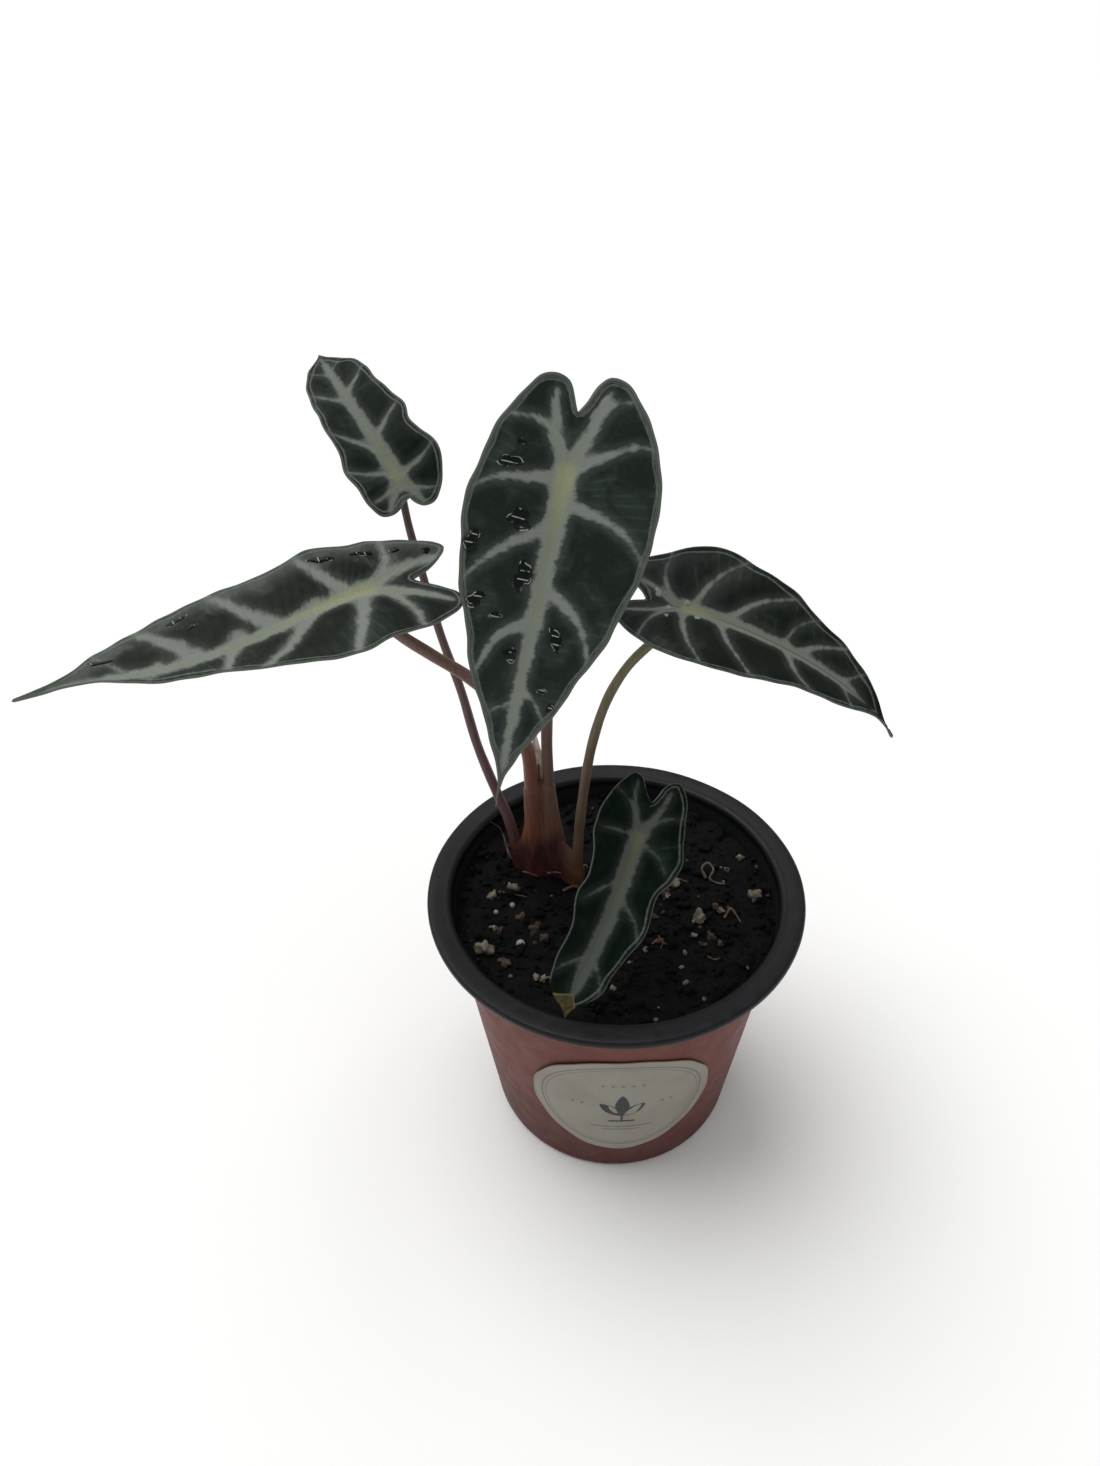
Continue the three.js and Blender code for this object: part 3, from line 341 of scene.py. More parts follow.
def disc(bm, radii, steps):
    """Adds a flat disc of rings by spinning a row of points about the upright axis."""
    row = [bm.verts.new((radius, 0, 0)) for radius in radii]
    edges = [bm.edges.new(pair) for pair in zip(row, row[1:])]
    bmesh.ops.spin(bm, geom=row + edges, cent=(0, 0, 0), axis=(0, 0, 1), angle=2 * math.pi, steps=steps, use_merge=True)
    bmesh.ops.remove_doubles(bm, verts=bm.verts[:], dist=1e-6)
    bmesh.ops.recalc_face_normals(bm, faces=bm.faces[:])
    if sum(face.normal.z for face in bm.faces) < 0:
        bmesh.ops.reverse_faces(bm, faces=bm.faces[:])


def lump(bm, place, size, stretch, rough, draw, level=1):
    """Adds one irregular crumb."""
    turn = Matrix.Rotation(draw.uniform(0, 6.3), 4, Vector((draw.gauss(0, 1), draw.gauss(0, 1), draw.gauss(0, 1))))
    scale = Matrix.Diagonal((*stretch, 1))
    matrix = Matrix.Translation(Vector(place) * MM) @ turn @ scale
    made = bmesh.ops.create_icosphere(bm, subdivisions=level, radius=size * MM, matrix=matrix)["verts"]
    centre = Vector(place) * MM
    seed = Vector((draw.uniform(0, 50), draw.uniform(0, 50), draw.uniform(0, 50)))
    for vert in made:
        swell = noise.noise(seed + (vert.co - centre) / (size * MM) * 1.3)
        vert.co = centre + (vert.co - centre) * (1 + rough * swell + draw.uniform(-0.1, 0.1) * rough)


def piece(name, bm, finishes, stands_for=(), crease=None):
    """Makes the finished object from a bmesh, in place, and fixes it to the frame."""
    mesh = bpy.data.meshes.new(name)
    bm.to_mesh(mesh)
    bm.free()
    mesh.polygons.foreach_set("use_smooth", [True] * len(mesh.polygons))
    if crease is not None:
        mesh.set_sharp_from_angle(angle=math.radians(crease))
    for finish in finishes:
        mesh.materials.append(finish)
    made = bpy.data.objects.new(name, mesh)
    bpy.context.scene.collection.objects.link(made)
    if stands_for:
        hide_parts(*stands_for)
    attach(made, BODY)
    return made


# Nodes of the finishes
class Finish:
    """A procedural material and short ways to add its nodes."""

    def __init__(self, name, **settings):
        self.material = bpy.data.materials.new(name)
        self.material.use_nodes = True
        self.tree = self.material.node_tree
        self.tree.nodes.clear()
        self.surface = self.node("BsdfPrincipled", settings)
        output = self.node("OutputMaterial")
        self.tree.links.new(self.surface.outputs[0], output.inputs["Surface"])

    def node(self, kind, values=None, **settings):
        made = self.tree.nodes.new("ShaderNode" + kind)
        for key, value in settings.items():
            setattr(made, key, value)
        for key, value in (values or {}).items():
            self.put(made.inputs[key], value)
        return made

    def put(self, socket, value):
        if isinstance(value, bpy.types.NodeSocket):
            self.tree.links.new(value, socket)
        elif socket.type == "RGBA" and len(value) == 3:
            socket.default_value = (*value, 1)
        else:
            socket.default_value = value

    def set(self, name, value):
        self.put(self.surface.inputs[name], value)

    def calc(self, operation, a, b=0.0, clamp=False):
        made = self.node("Math", {0: a, 1: b}, operation=operation)
        made.use_clamp = clamp
        return made.outputs[0]

    def fade(self, value, low, high, start=0.0, end=1.0):
        made = self.node("MapRange", {"Value": value, "From Min": low, "From Max": high, "To Min": start,
                                      "To Max": end}, interpolation_type="SMOOTHSTEP")
        return made.outputs[0]

    def blend(self, share, low, high, kind="MIX"):
        made = self.node("Mix", data_type="RGBA", blend_type=kind)
        self.put(made.inputs[0], share)
        self.put(made.inputs[6], low)
        self.put(made.inputs[7], high)
        return made.outputs[2]

    def attribute(self, name, output="Fac"):
        return self.node("Attribute", attribute_name=name, attribute_type="GEOMETRY").outputs[output]

    def place(self, stretch=(1, 1, 1)):
        """Object coordinates in millimetres, stretched."""
        coordinates = self.node("TexCoord").outputs["Object"]
        scale = tuple(value / MM for value in stretch)
        return self.node("Mapping", {"Vector": coordinates, "Scale": scale}).outputs[0]

    def grain(self, vector, scale, detail=3.0, rough=0.55, distortion=0.0):
        return self.node("TexNoise", {"Vector": vector, "Scale": scale, "Detail": detail, "Roughness": rough,
                                      "Distortion": distortion}).outputs[0]

    def bump(self, height, strength, distance):
        made = self.node("Bump", {"Height": height, "Strength": strength, "Distance": distance * MM})
        self.set("Normal", made.outputs[0])


def tinted(colour, tint):
    return tuple(value * share for value, share in zip(colour, tint))


def leaf_top_finish(leaf, look):
    finish = Finish(f"leaf_skin_{leaf['name']}", **{"Specular IOR Level": leaf["shine"]})
    flat = finish.attribute("flat", "Vector")
    band = finish.attribute("band")
    main = finish.attribute("main")
    margin = finish.attribute("margin")
    joint = finish.attribute("joint")
    fan = finish.attribute("fan", "Vector")
    tint = leaf["vein_tint"]
    vein, heart_tone, cream = (tinted(tone, (tint,) * 3) for tone in (look.vein, look.vein_heart, look.cream))
    edge_tone = tinted(look.margin, (leaf.get("margin_tint", tint),) * 3)
    # Dark lamina with soft lighter clouds
    clouds = finish.fade(finish.grain(flat, 0.09, 4.0, 0.62, 0.6), 0.42, 0.72)
    specks = finish.grain(flat, 0.8, 4.0, 0.62)
    dark, light = tinted(look.lamina_dark, leaf["tint"]), tinted(look.lamina_light, leaf["tint"])
    lamina = finish.blend(clouds, dark, light)
    lamina = finish.blend(finish.fade(specks, 0.45, 0.8, 0.0, 0.35), lamina, light)
    across, along = finish.node("SeparateXYZ", {0: flat}).outputs[:2]
    # Painted sheen: the lamina turns paler towards one side and towards the tip, standing in for the glare of the light
    # on the blade.
    sheen_reach = finish.calc("ADD", finish.attribute("edge"), finish.calc("MULTIPLY", finish.calc("SUBTRACT", clouds, 0.5), 0.5))
    sheen_reach = finish.calc("ADD", sheen_reach, finish.fade(along, 0.62 * leaf["length"], 0.95 * leaf["length"]))
    lamina = finish.blend(finish.fade(sheen_reach, 0.25, 0.85, 0.0, leaf.get("painted_sheen", 0.0)), lamina, tinted(vein, (0.6, 0.6, 0.62)))
    lamina = finish.blend(finish.fade(along, 0.9 * leaf["length"], leaf["length"], 0.0, 0.7), lamina, edge_tone)
    # Faint lines that fan out between the veins
    ripple = finish.node("TexWave", {"Vector": fan, "Scale": 0.1, "Distortion": 5.0, "Detail": 3.0,
                                     "Detail Scale": 0.3}, wave_type="BANDS", bands_direction="X").outputs["Fac"]
    hairlines = finish.calc("MULTIPLY", finish.fade(ripple, 0.7, 1.0, 0.0, 0.07), finish.fade(clouds, 0.1, 0.9))
    lamina = finish.blend(hairlines, lamina, vein)
    lamina = finish.blend(finish.fade(band, 2.8, 0.0, 0.0, 0.12), lamina, vein)
    # Pale bands with soft, lightly streaked edges
    wobble = finish.calc("SUBTRACT", finish.grain(flat, 0.3, 2.0, 0.5), 0.5)
    streaks = finish.calc("SUBTRACT", finish.grain(fan, 0.9, 3.0, 0.6), 0.5)
    stray = finish.calc("ADD", finish.calc("MULTIPLY", wobble, 1.7), finish.calc("MULTIPLY", streaks, 1.3))
    frayed = finish.calc("ADD", band, finish.calc("MULTIPLY", stray, leaf["feather"]))
    soft = leaf.get("soft", 1.0)
    vein_share = finish.fade(frayed, 0.5 * soft, -0.55 * soft, 0.0, 0.97)
    deep, glow = leaf["midrib"][0], leaf.get("glow", 0.3) * leaf["length"]
    heart = finish.calc("MULTIPLY", finish.fade(joint, glow, 0.15 * glow), finish.fade(main, -0.14 * deep, -0.65 * deep))
    vein_tone = finish.blend(heart, vein, heart_tone)
    cream_share = finish.calc("MULTIPLY", finish.fade(joint, 0.2 * glow, 0.5), finish.fade(main, 0.2, -0.5 * deep))
    vein_tone = finish.blend(finish.calc("MULTIPLY", cream_share, leaf["cream"]), vein_tone, cream)
    fleck = finish.grain(fan, 1.1, 4.0, 0.65)
    vein_tone = finish.blend(finish.fade(fleck, 0.48, 0.8, 0.0, 0.35), vein_tone, tinted(vein, (0.6, 0.62, 0.6)))
    groove = finish.calc("ABSOLUTE", across)
    groove = finish.calc("MULTIPLY", finish.fade(groove, 0.32, 0.05, 0.0, leaf.get("groove", 0.0)), finish.fade(joint, 2.0, 5.0))
    vein_tone = finish.blend(groove, vein_tone, light)
    colour = finish.blend(vein_share, lamina, vein_tone)
    # Pale line on the margin and the fine vein that runs beside it
    nick = finish.calc("SUBTRACT", specks, 0.5)
    line = leaf.get("margin_line", 0.5)
    ragged = finish.calc("ADD", margin, finish.calc("MULTIPLY", nick, 0.5))
    colour = finish.blend(finish.fade(ragged, line, line - 0.35, 0.0, 0.9), colour, edge_tone)
    seam = finish.fade(finish.calc("ABSOLUTE", finish.calc("SUBTRACT", ragged, 0.62 * line)), 0.26, 0.06, 0.0, 0.5)
    colour = finish.blend(seam, colour, lamina)
    inner = finish.calc("ADD", finish.calc("ABSOLUTE", finish.attribute("collector")), finish.calc("MULTIPLY", nick, 0.7))
    colour = finish.blend(finish.fade(inner, 0.42, 0.1, 0.0, 0.55), colour, tinted(edge_tone, (1.35, 1.35, 1.35)))
    if leaf["name"] == "front":
        dry = finish.attribute("dry")
        straw = finish.blend(finish.fade(specks, 0.35, 0.7), look.dry_tip, tinted(look.dry_tip, (0.5, 0.45, 0.35)))
        colour = finish.blend(finish.fade(dry, -0.15, 0.15), colour, straw)
        border = finish.calc("MINIMUM", finish.calc("ABSOLUTE", dry), finish.calc("ADD", margin, finish.fade(dry, 0.0, -0.5, 0.0, 9.0)))
        colour = finish.blend(finish.fade(border, 0.42, 0.14, 0.0, 0.85), colour, tinted(look.dry_tip, (1.7, 1.8, 2.0)))
    finish.set("Base Color", colour)
    gloss = finish.calc("ADD", finish.fade(specks, 0.3, 0.8, look.gloss - 0.05, look.gloss + 0.09),
                        finish.calc("MULTIPLY", vein_share, 0.1))
    finish.set("Roughness", gloss)
    relief = finish.calc("ADD", finish.calc("MULTIPLY", ripple, 0.35), finish.calc("MULTIPLY", specks, 0.65))
    finish.bump(relief, 0.3, 0.25)
    return finish.material


def leaf_under_finish(leaf, look):
    finish = Finish(f"leaf_back_{leaf['name']}", **{"Specular IOR Level": 0.35})
    flat = finish.attribute("flat", "Vector")
    band = finish.attribute("band")
    mottle = finish.grain(flat, 0.3, 4.0, 0.6)
    base = finish.blend(finish.fade(mottle, 0.3, 0.7), look.underside, look.underside_light)
    edge = finish.calc("ADD", band, finish.calc("MULTIPLY", finish.calc("SUBTRACT", finish.grain(flat, 1.0), 0.5), 1.0))
    base = finish.blend(finish.fade(edge, 0.3, -0.7, 0.0, 0.75), base, look.underside_vein)
    base = finish.blend(finish.fade(finish.attribute("margin"), 0.9, 0.3, 0.0, 0.8), base, look.margin)
    finish.set("Base Color", base)
    finish.set("Roughness", finish.fade(mottle, 0.2, 0.8, 0.5, 0.62))
    finish.bump(finish.grain(flat, 1.4, 4.0), 0.25, 0.25)
    return finish.material


def stalk_finish(name, foot, shaft, head):
    finish = Finish(name, **{"Specular IOR Level": 0.45})
    along = finish.attribute("along")
    long_grain = finish.grain(finish.place((1, 1, 0.07)), 0.9, 5.0, 0.65)
    blotches = finish.grain(finish.place((1, 1, 0.35)), 0.25, 3.0, 0.6)
    shifted = finish.calc("ADD", along, finish.calc("MULTIPLY", finish.calc("SUBTRACT", blotches, 0.5), 0.16))
    lower = finish.blend(finish.fade(shifted, 0.04, 0.2), foot, shaft)
    colour = finish.blend(finish.fade(shifted, 0.35, 0.95), lower, head)
    darker = finish.blend(0.45, colour, (0.02, 0.012, 0.01), "MIX")
    colour = finish.blend(finish.fade(long_grain, 0.42, 0.72, 0.0, 0.75), colour, darker)
    specks = finish.grain(finish.place((1, 1, 0.4)), 2.6, 2.0, 0.5)
    colour = finish.blend(finish.fade(specks, 0.62, 0.72, 0.0, 0.5), colour, darker)
    finish.set("Base Color", colour)
    finish.set("Roughness", finish.fade(long_grain, 0.3, 0.8, 0.42, 0.6))
    finish.bump(long_grain, 0.35, 0.3)
    return finish.material


def paper_sheath_finish():
    finish = Finish("dry_sheath", **{"Specular IOR Level": 0.3})
    fibres = finish.grain(finish.place((1, 1, 0.05)), 1.6, 5.0, 0.7)
    stains = finish.grain(finish.place(), 0.2, 3.0, 0.6)
    # Both tones are partly the sheath's own pale cream and partly painted light that shines through the thin sheath.
    colour = finish.blend(finish.fade(fibres, 0.3, 0.75), shade(240, 229, 216), shade(208, 186, 168))
    colour = finish.blend(finish.fade(stains, 0.5, 0.72, 0.0, 0.5), colour, shade(150, 104, 82))
    finish.set("Base Color", colour)
    finish.set("Roughness", finish.fade(fibres, 0.2, 0.8, 0.6, 0.85))
    finish.bump(fibres, 0.5, 0.3)
    return finish.material


def corm_finish():
    finish = Finish("corm_skin", **{"Specular IOR Level": 0.25})
    rings = finish.grain(finish.place((0.2, 0.2, 1)), 0.5, 4.0, 0.65)
    spots = finish.grain(finish.place(), 0.7, 4.0, 0.6)
    colour = finish.blend(finish.fade(rings, 0.3, 0.7), shade(92, 70, 50), shade(56, 40, 30))
    colour = finish.blend(finish.fade(spots, 0.55, 0.7, 0.0, 0.6), colour, shade(130, 104, 78))
    finish.set("Base Color", colour)
    finish.set("Roughness", finish.fade(spots, 0.2, 0.8, 0.75, 0.95))
    finish.bump(rings, 0.6, 0.6)
    return finish.material


def pot_outside_finish(look):
    finish = Finish("pot_plastic_outside", **{"Specular IOR Level": 0.16})
    drift = finish.grain(finish.place((1, 1, 0.5)), 0.035, 3.0, 0.5)
    cloud = finish.grain(finish.place(), 0.16, 4.0, 0.6)
    fine = finish.grain(finish.place(), 3.0, 3.0, 0.6)
    height = finish.node("SeparateXYZ", {0: finish.place()}).outputs[2]
    colour = finish.blend(finish.fade(drift, 0.35, 0.65), look.outside, tinted(look.outside, (1.14, 1.12, 1.12)))
    colour = finish.blend(finish.fade(cloud, 0.5, 0.75, 0.0, 0.2), colour, tinted(look.outside, (0.8, 0.76, 0.8)))
    # Painted shade: the wall darkens towards the bottom.
    colour = finish.blend(finish.fade(height, 62.0, 0.0, 0.0, 0.75), colour, tinted(look.outside, (0.5, 0.44, 0.46)))
    scuffs = finish.grain(finish.place((0.5, 0.5, 3.2)), 0.5, 5.0, 0.75)
    colour = finish.blend(finish.fade(scuffs, 0.68, 0.76, 0.0, 0.2), colour, tinted(look.outside, (1.4, 1.45, 1.45)))
    finish.set("Base Color", colour)
    finish.set("Roughness", finish.fade(cloud, 0.25, 0.75, 0.46, 0.62))
    finish.bump(finish.calc("ADD", finish.calc("MULTIPLY", fine, 0.6), scuffs), 0.18, 0.15)
    return finish.material


def pot_black_finish(look):
    finish = Finish("pot_plastic_black", **{"Specular IOR Level": 0.2})
    dust = finish.grain(finish.place(), 0.22, 5.0, 0.65)
    fine = finish.grain(finish.place(), 2.2, 3.0, 0.6)
    scratches = finish.grain(finish.place((0.3, 2.4, 2.4)), 0.8, 4.0, 0.8)
    colour = finish.blend(finish.fade(dust, 0.4, 0.75), look.rim, tinted(look.rim, (1.9, 1.9, 1.95)))
    colour = finish.blend(finish.fade(scratches, 0.64, 0.72, 0.0, 0.4), colour, tinted(look.rim, (3.2, 3.2, 3.3)))
    # Painted shade darkens the rounded inner edge, and painted light brightens the wall below it, which lies in shade.
    reach = finish.node("VectorMath", {0: finish.place((1, 1, 0))}, operation="LENGTH").outputs["Value"]
    colour = finish.blend(finish.fade(reach, 54.8, 53.6, 0.0, 0.8), colour, tinted(look.rim, (0.35, 0.35, 0.35)))
    height = finish.node("SeparateXYZ", {0: finish.place()}).outputs[2]
    colour = finish.blend(finish.fade(height, 93.4, 91.5), colour, tinted(look.rim, (2.3, 2.3, 2.3)))
    finish.set("Base Color", colour)
    finish.set("Roughness", finish.fade(dust, 0.3, 0.8, 0.36, 0.55))
    finish.bump(finish.calc("ADD", fine, finish.calc("MULTIPLY", scratches, 0.5)), 0.22, 0.15)
    return finish.material


def label_paper_finish(look):
    finish = Finish("label_paper", **{"Specular IOR Level": 0.35})
    place = finish.attribute("sheet", "Vector")
    fibre = finish.grain(place, 0.9, 5.0, 0.7)
    stain = finish.grain(place, 0.06, 3.0, 0.5)
    colour = finish.blend(finish.fade(stain, 0.4, 0.75), look.paper, tinted(look.paper, (0.86, 0.84, 0.8)))
    colour = finish.blend(finish.fade(fibre, 0.55, 0.8, 0.0, 0.3), colour, tinted(look.paper, (0.78, 0.77, 0.75)))
    reach = finish.node("VectorMath", {0: place}, operation="LENGTH").outputs["Value"]
    colour = finish.blend(finish.fade(reach, 28.2, 29.5, 0.0, 0.45), colour, tinted(look.paper, (0.6, 0.56, 0.5)))
    # Printed border of two thin rings
    for radius, half in ((26.0, 0.28), (24.7, 0.13)):
        off = finish.calc("ABSOLUTE", finish.calc("SUBTRACT", reach, radius))
        worn = finish.calc("MULTIPLY", finish.fade(off, half + 0.12, half - 0.05), finish.fade(fibre, 0.72, 0.5, 0.45, 0.9))
        colour = finish.blend(worn, colour, look.ink_soft)
    finish.set("Base Color", colour)
    finish.set("Roughness", finish.fade(fibre, 0.2, 0.8, 0.5, 0.68))
    finish.bump(fibre, 0.2, 0.1)
    return finish.material


def ink_finish(name, colour):
    finish = Finish(name, **{"Specular IOR Level": 0.3})
    wear = finish.grain(finish.place(), 1.1, 4.0, 0.7)
    finish.set("Base Color", finish.blend(finish.fade(wear, 0.4, 0.8), colour, tinted(colour, (1.6, 1.6, 1.6))))
    finish.set("Roughness", finish.fade(wear, 0.2, 0.8, 0.5, 0.65))
    return finish.material


def soil_finish(look):
    finish = Finish("peat_soil", **{"Specular IOR Level": 0.15})
    clods = finish.grain(finish.place(), 0.22, 5.0, 0.65)
    grit = finish.grain(finish.place(), 1.3, 5.0, 0.7)
    fibres = finish.grain(finish.place((1, 0.25, 1)), 1.9, 4.0, 0.7, 1.5)
    colour = finish.blend(finish.fade(clods, 0.35, 0.7), look.peat_dark, look.peat_light)
    colour = finish.blend(finish.fade(grit, 0.52, 0.75, 0.0, 0.8), colour, tinted(look.peat_light, (1.6, 1.4, 1.25)))
    colour = finish.blend(finish.fade(fibres, 0.68, 0.76, 0.0, 0.6), colour, shade(46, 37, 31))
    finish.set("Base Color", colour)
    finish.set("Roughness", finish.fade(grit, 0.2, 0.8, 0.72, 0.97))
    finish.bump(finish.calc("ADD", grit, finish.calc("MULTIPLY", fibres, 0.6)), 0.9, 1.0)
    return finish.material


def crumb_finish(name, pale, deep, scale, roughness):
    finish = Finish(name, **{"Specular IOR Level": 0.3})
    patch = finish.grain(finish.place(), scale * 0.3, 3.0, 0.6)
    pits = finish.grain(finish.place(), scale * 1.6, 4.0, 0.7)
    colour = finish.blend(finish.fade(patch, 0.35, 0.68), pale, deep)
    colour = finish.blend(finish.fade(pits, 0.55, 0.75, 0.0, 0.7), colour, tinted(deep, (0.55, 0.5, 0.45)))
    finish.set("Base Color", colour)
    finish.set("Roughness", finish.fade(pits, 0.2, 0.8, roughness - 0.1, roughness + 0.05))
    finish.bump(pits, 0.8, 0.5)
    return finish.material


def water_finish(name, tones):
    """Wet patches, dark and glossy: their dark body and the broken bright lines along their rims and a few inside are
    painted reflections.
    """
    finish = Finish(name, **{"Specular IOR Level": 0.12, "Roughness": 0.1})
    brim = finish.attribute("brim")
    patch = finish.attribute("patch", "Vector")
    breaks = finish.grain(patch, 0.42, 3.0, 0.55)
    shine = finish.calc("MULTIPLY", finish.fade(brim, 0.84, 0.93), finish.fade(breaks, 0.5, 0.56))
    lines = finish.node("TexWave", {"Vector": patch, "Scale": 0.15, "Distortion": 1.6, "Detail": 1.0},
                        wave_type="BANDS", bands_direction="Y").outputs["Fac"]
    glints = finish.calc("MULTIPLY", finish.fade(lines, 0.93, 0.98), finish.fade(breaks, 0.42, 0.48))
    glints = finish.calc("MULTIPLY", glints, finish.fade(brim, 0.8, 0.6))
    deep = finish.blend(breaks, *tones)
    colour = finish.blend(finish.calc("MAXIMUM", shine, glints), deep, shade(150, 156, 152))
    finish.set("Base Color", colour)
    return finish.material


# Sizes and colours a user may change
def colour_property(name, description, default):
    return bpy.props.FloatVectorProperty(
        name=name, description=description, subtype="COLOR", size=3, min=0, max=1, default=default)


def length_property(name, description, default, low, high):
    return bpy.props.FloatProperty(
        name=name, description=description, unit="LENGTH", default=default * MM, min=low * MM, max=high * MM,
        precision=5)


class AlocasiaLeafLook(bpy.types.PropertyGroup):
    """Sizes and colours of the leaves."""

    thickness: length_property("Blade Thickness", "Thickness of a leaf blade", 0.75, 0.4, 1.5)
    quilt: length_property("Quilting", "Rise of the blade between its veins", 0.6, 0.0, 1.2)
    rib: length_property("Rib Depth", "Depth of the ribs under a blade", 1.1, 0.2, 2.0)
    mesh_step: length_property("Mesh Step", "Distance between the rows of a blade's mesh", 0.5, 0.4, 2.0)
    gloss: bpy.props.FloatProperty(name="Roughness", description="Roughness of the upper skin", default=0.4,
                                   min=0.1, max=0.9, subtype="FACTOR")
    lamina_dark: colour_property("Dark Green", "Darkest tone of the blade", shade(24, 33, 28))
    lamina_light: colour_property("Light Green", "Lighter clouds of the blade", shade(44, 54, 46))
    vein: colour_property("Vein", "Pale bands along the veins", shade(122, 128, 121))
    vein_heart: colour_property("Vein Heart", "Middle of the widest bands", shade(122, 129, 111))
    cream: colour_property("Cream", "Tone where the veins meet", shade(142, 146, 114))
    margin: colour_property("Margin", "Line round the blade", shade(98, 104, 98))
    dry_tip: colour_property("Dry Tip", "Dried end of the front leaf", shade(76, 72, 47))
    underside: colour_property("Underside", "Back of the blade", shade(74, 80, 66))
    underside_light: colour_property("Pale Underside", "Lighter parts of the back", shade(96, 102, 82))
    underside_vein: colour_property("Underside Veins", "Ribs on the back", shade(140, 142, 112))


class AlocasiaPotLook(bpy.types.PropertyGroup):
    """Sizes and colours of the pot."""

    height: length_property("Pot Height", "Height of the pot with its rim", 96.0, 95.0, 97.0)
    rim_depth: length_property("Rim Depth", "Depth of the flat rim", 3.0, 2.0, 5.0)
    outside: colour_property("Outside", "Outside of the pot's wall", shade(100, 57, 50))
    rim: colour_property("Rim", "Rim and inside of the pot", shade(17, 18, 20))


class AlocasiaLabelLook(bpy.types.PropertyGroup):
    """Size and colours of the label."""

    radius: length_property("Label Radius", "Radius of the round label", 29.5, 20.0, 31.5)
    thickness: length_property("Label Thickness", "Thickness of the paper", 0.35, 0.1, 0.5)
    paper: colour_property("Paper", "Paper of the label", shade(140, 136, 126))
    ink: colour_property("Ink", "Dark ink of the middle motif", shade(42, 48, 46))
    ink_soft: colour_property("Soft Ink", "Pale ink of the border and rules", shade(96, 100, 96))
    ink_warm: colour_property("Warm Ink", "Reddish ink of the row of dots", shade(130, 88, 76))


class AlocasiaSoilLook(bpy.types.PropertyGroup):
    """Sizes and colours of the soil."""

    level: length_property("Soil Level", "Height of the soil's surface", 88.0, 86.0, 90.0)
    crumbs: bpy.props.IntProperty(name="Crumbs", description="Number of small peat crumbs", default=900, min=0,
                                  max=2000)
    seed: bpy.props.IntProperty(name="Seed", description="Draw of the crumbs' places", default=11, min=0)
    peat_dark: colour_property("Dark Peat", "Darkest tone of the soil", shade(9, 9, 10))
    peat_light: colour_property("Light Peat", "Lighter tone of the soil", shade(20, 18, 18))


class AlocasiaStageLook(bpy.types.PropertyGroup):
    """Floor, light and camera."""

    floor: colour_property("Floor", "Colour of the floor", shade(249, 249, 248))
    key: bpy.props.FloatProperty(name="Key Light", description="Strength of the wide lamp high above", default=2.1,
                                 min=0)
    softness: bpy.props.FloatProperty(name="Softness", description="Width of the lamp as seen from the plant",
                                      default=math.radians(55), min=0, max=math.pi, subtype="ANGLE")
    sky: bpy.props.FloatProperty(name="Sky", description="Strength of the even light all round", default=0.5, min=0)


# Leaf blades
def blade_axes(leaf):
    azimuth, elevation, roll = (math.radians(leaf[key]) for key in ("azimuth", "elevation", "roll"))
    forward = np.array([math.cos(elevation) * math.cos(azimuth), math.cos(elevation) * math.sin(azimuth),
                        math.sin(elevation)])
    level = np.array([0.0, 0.0, 1.0]) - forward * forward[2]
    level /= np.linalg.norm(level)
    normal = level * math.cos(roll) + np.cross(forward, level) * math.sin(roll)
    return forward, normal, np.cross(forward, normal)


def blade_places(leaf, flat, lift):
    """Bends flat points of a blade into space, raised off the surface by lift, in millimetres."""
    forward, normal, side = blade_axes(leaf)
    bend = math.radians(leaf["droop"]) / leaf["length"]
    fold = math.radians(leaf["fold"])
    across, along = flat[:, 0], flat[:, 1]
    angle = bend * along
    share = along / leaf["length"]
    sway = leaf["bow"] * np.sin(np.pi * np.clip(share, 0, 1)) ** 2 + leaf["hook"] * np.maximum(share, 0) ** 4
    up = np.cos(angle)[:, None] * normal + np.sin(angle)[:, None] * forward
    places = np.array(leaf["joint"]) + (np.sin(angle) / bend)[:, None] * forward
    places = places - ((1 - np.cos(angle)) / bend)[:, None] * normal
    places = places + (sway + across * math.cos(fold))[:, None] * side
    return places + (np.abs(across) * math.sin(fold) + lift)[:, None] * up


def vein_lines(leaf):
    """Lists the leaf's veins as (line, half width at its foot, half width at its end, is a main vein)."""
    start, end = leaf["midrib"]
    bent = leaf.get("rib_shift", 0.0)
    lines = [(smooth_line([(0, -0.5), (bent, 0.5 * leaf["length"]), (0, leaf["length"] - 0.5)], 40), start, end, True)]
    for lobe in leaf["lobes"]:
        lines.append((smooth_line(lobe, 20), *leaf["lobe_width"], True))
    for branch in leaf["branches"]:
        lines.append((smooth_line(branch, 20), 0.7 * leaf["side_width"][0], 0.7 * leaf["side_width"][1], False))
    for vein in leaf["sides"]:
        lines.append((smooth_line(vein, 28), *leaf["side_width"], False))
    for vein in leaf["thin"]:
        lines.append((smooth_line(vein, 16), 0.35, 0.02, False))
    return lines


def vein_fields(leaf, flat):
    """Gives signed distances to the pale bands, to the main bands alone, and the distance to the nearest vein."""
    band = np.full(len(flat), 50.0)
    main = np.full(len(flat), 50.0)
    centre = np.full(len(flat), 50.0)
    for number, (line, start, end, is_main) in enumerate(vein_lines(leaf)):
        gap, share = line_distance(flat, line)
        if is_main:
            stop = leaf["tip_end"] if number == 0 else 1.0
            half = (start + (end - start) * share ** 0.8) * smoothstep(stop, stop - 0.13, share)
            half = half - 0.8 * smoothstep(stop - 0.06, stop + 0.01, share)
            main = soft_min(main, gap - half, 0.8)
        else:
            half = end + (start - end) * (1 - share) ** 1.2
        band = soft_min(band, gap - half, 1.7)
        centre = np.minimum(centre, gap)
    return band, main, centre


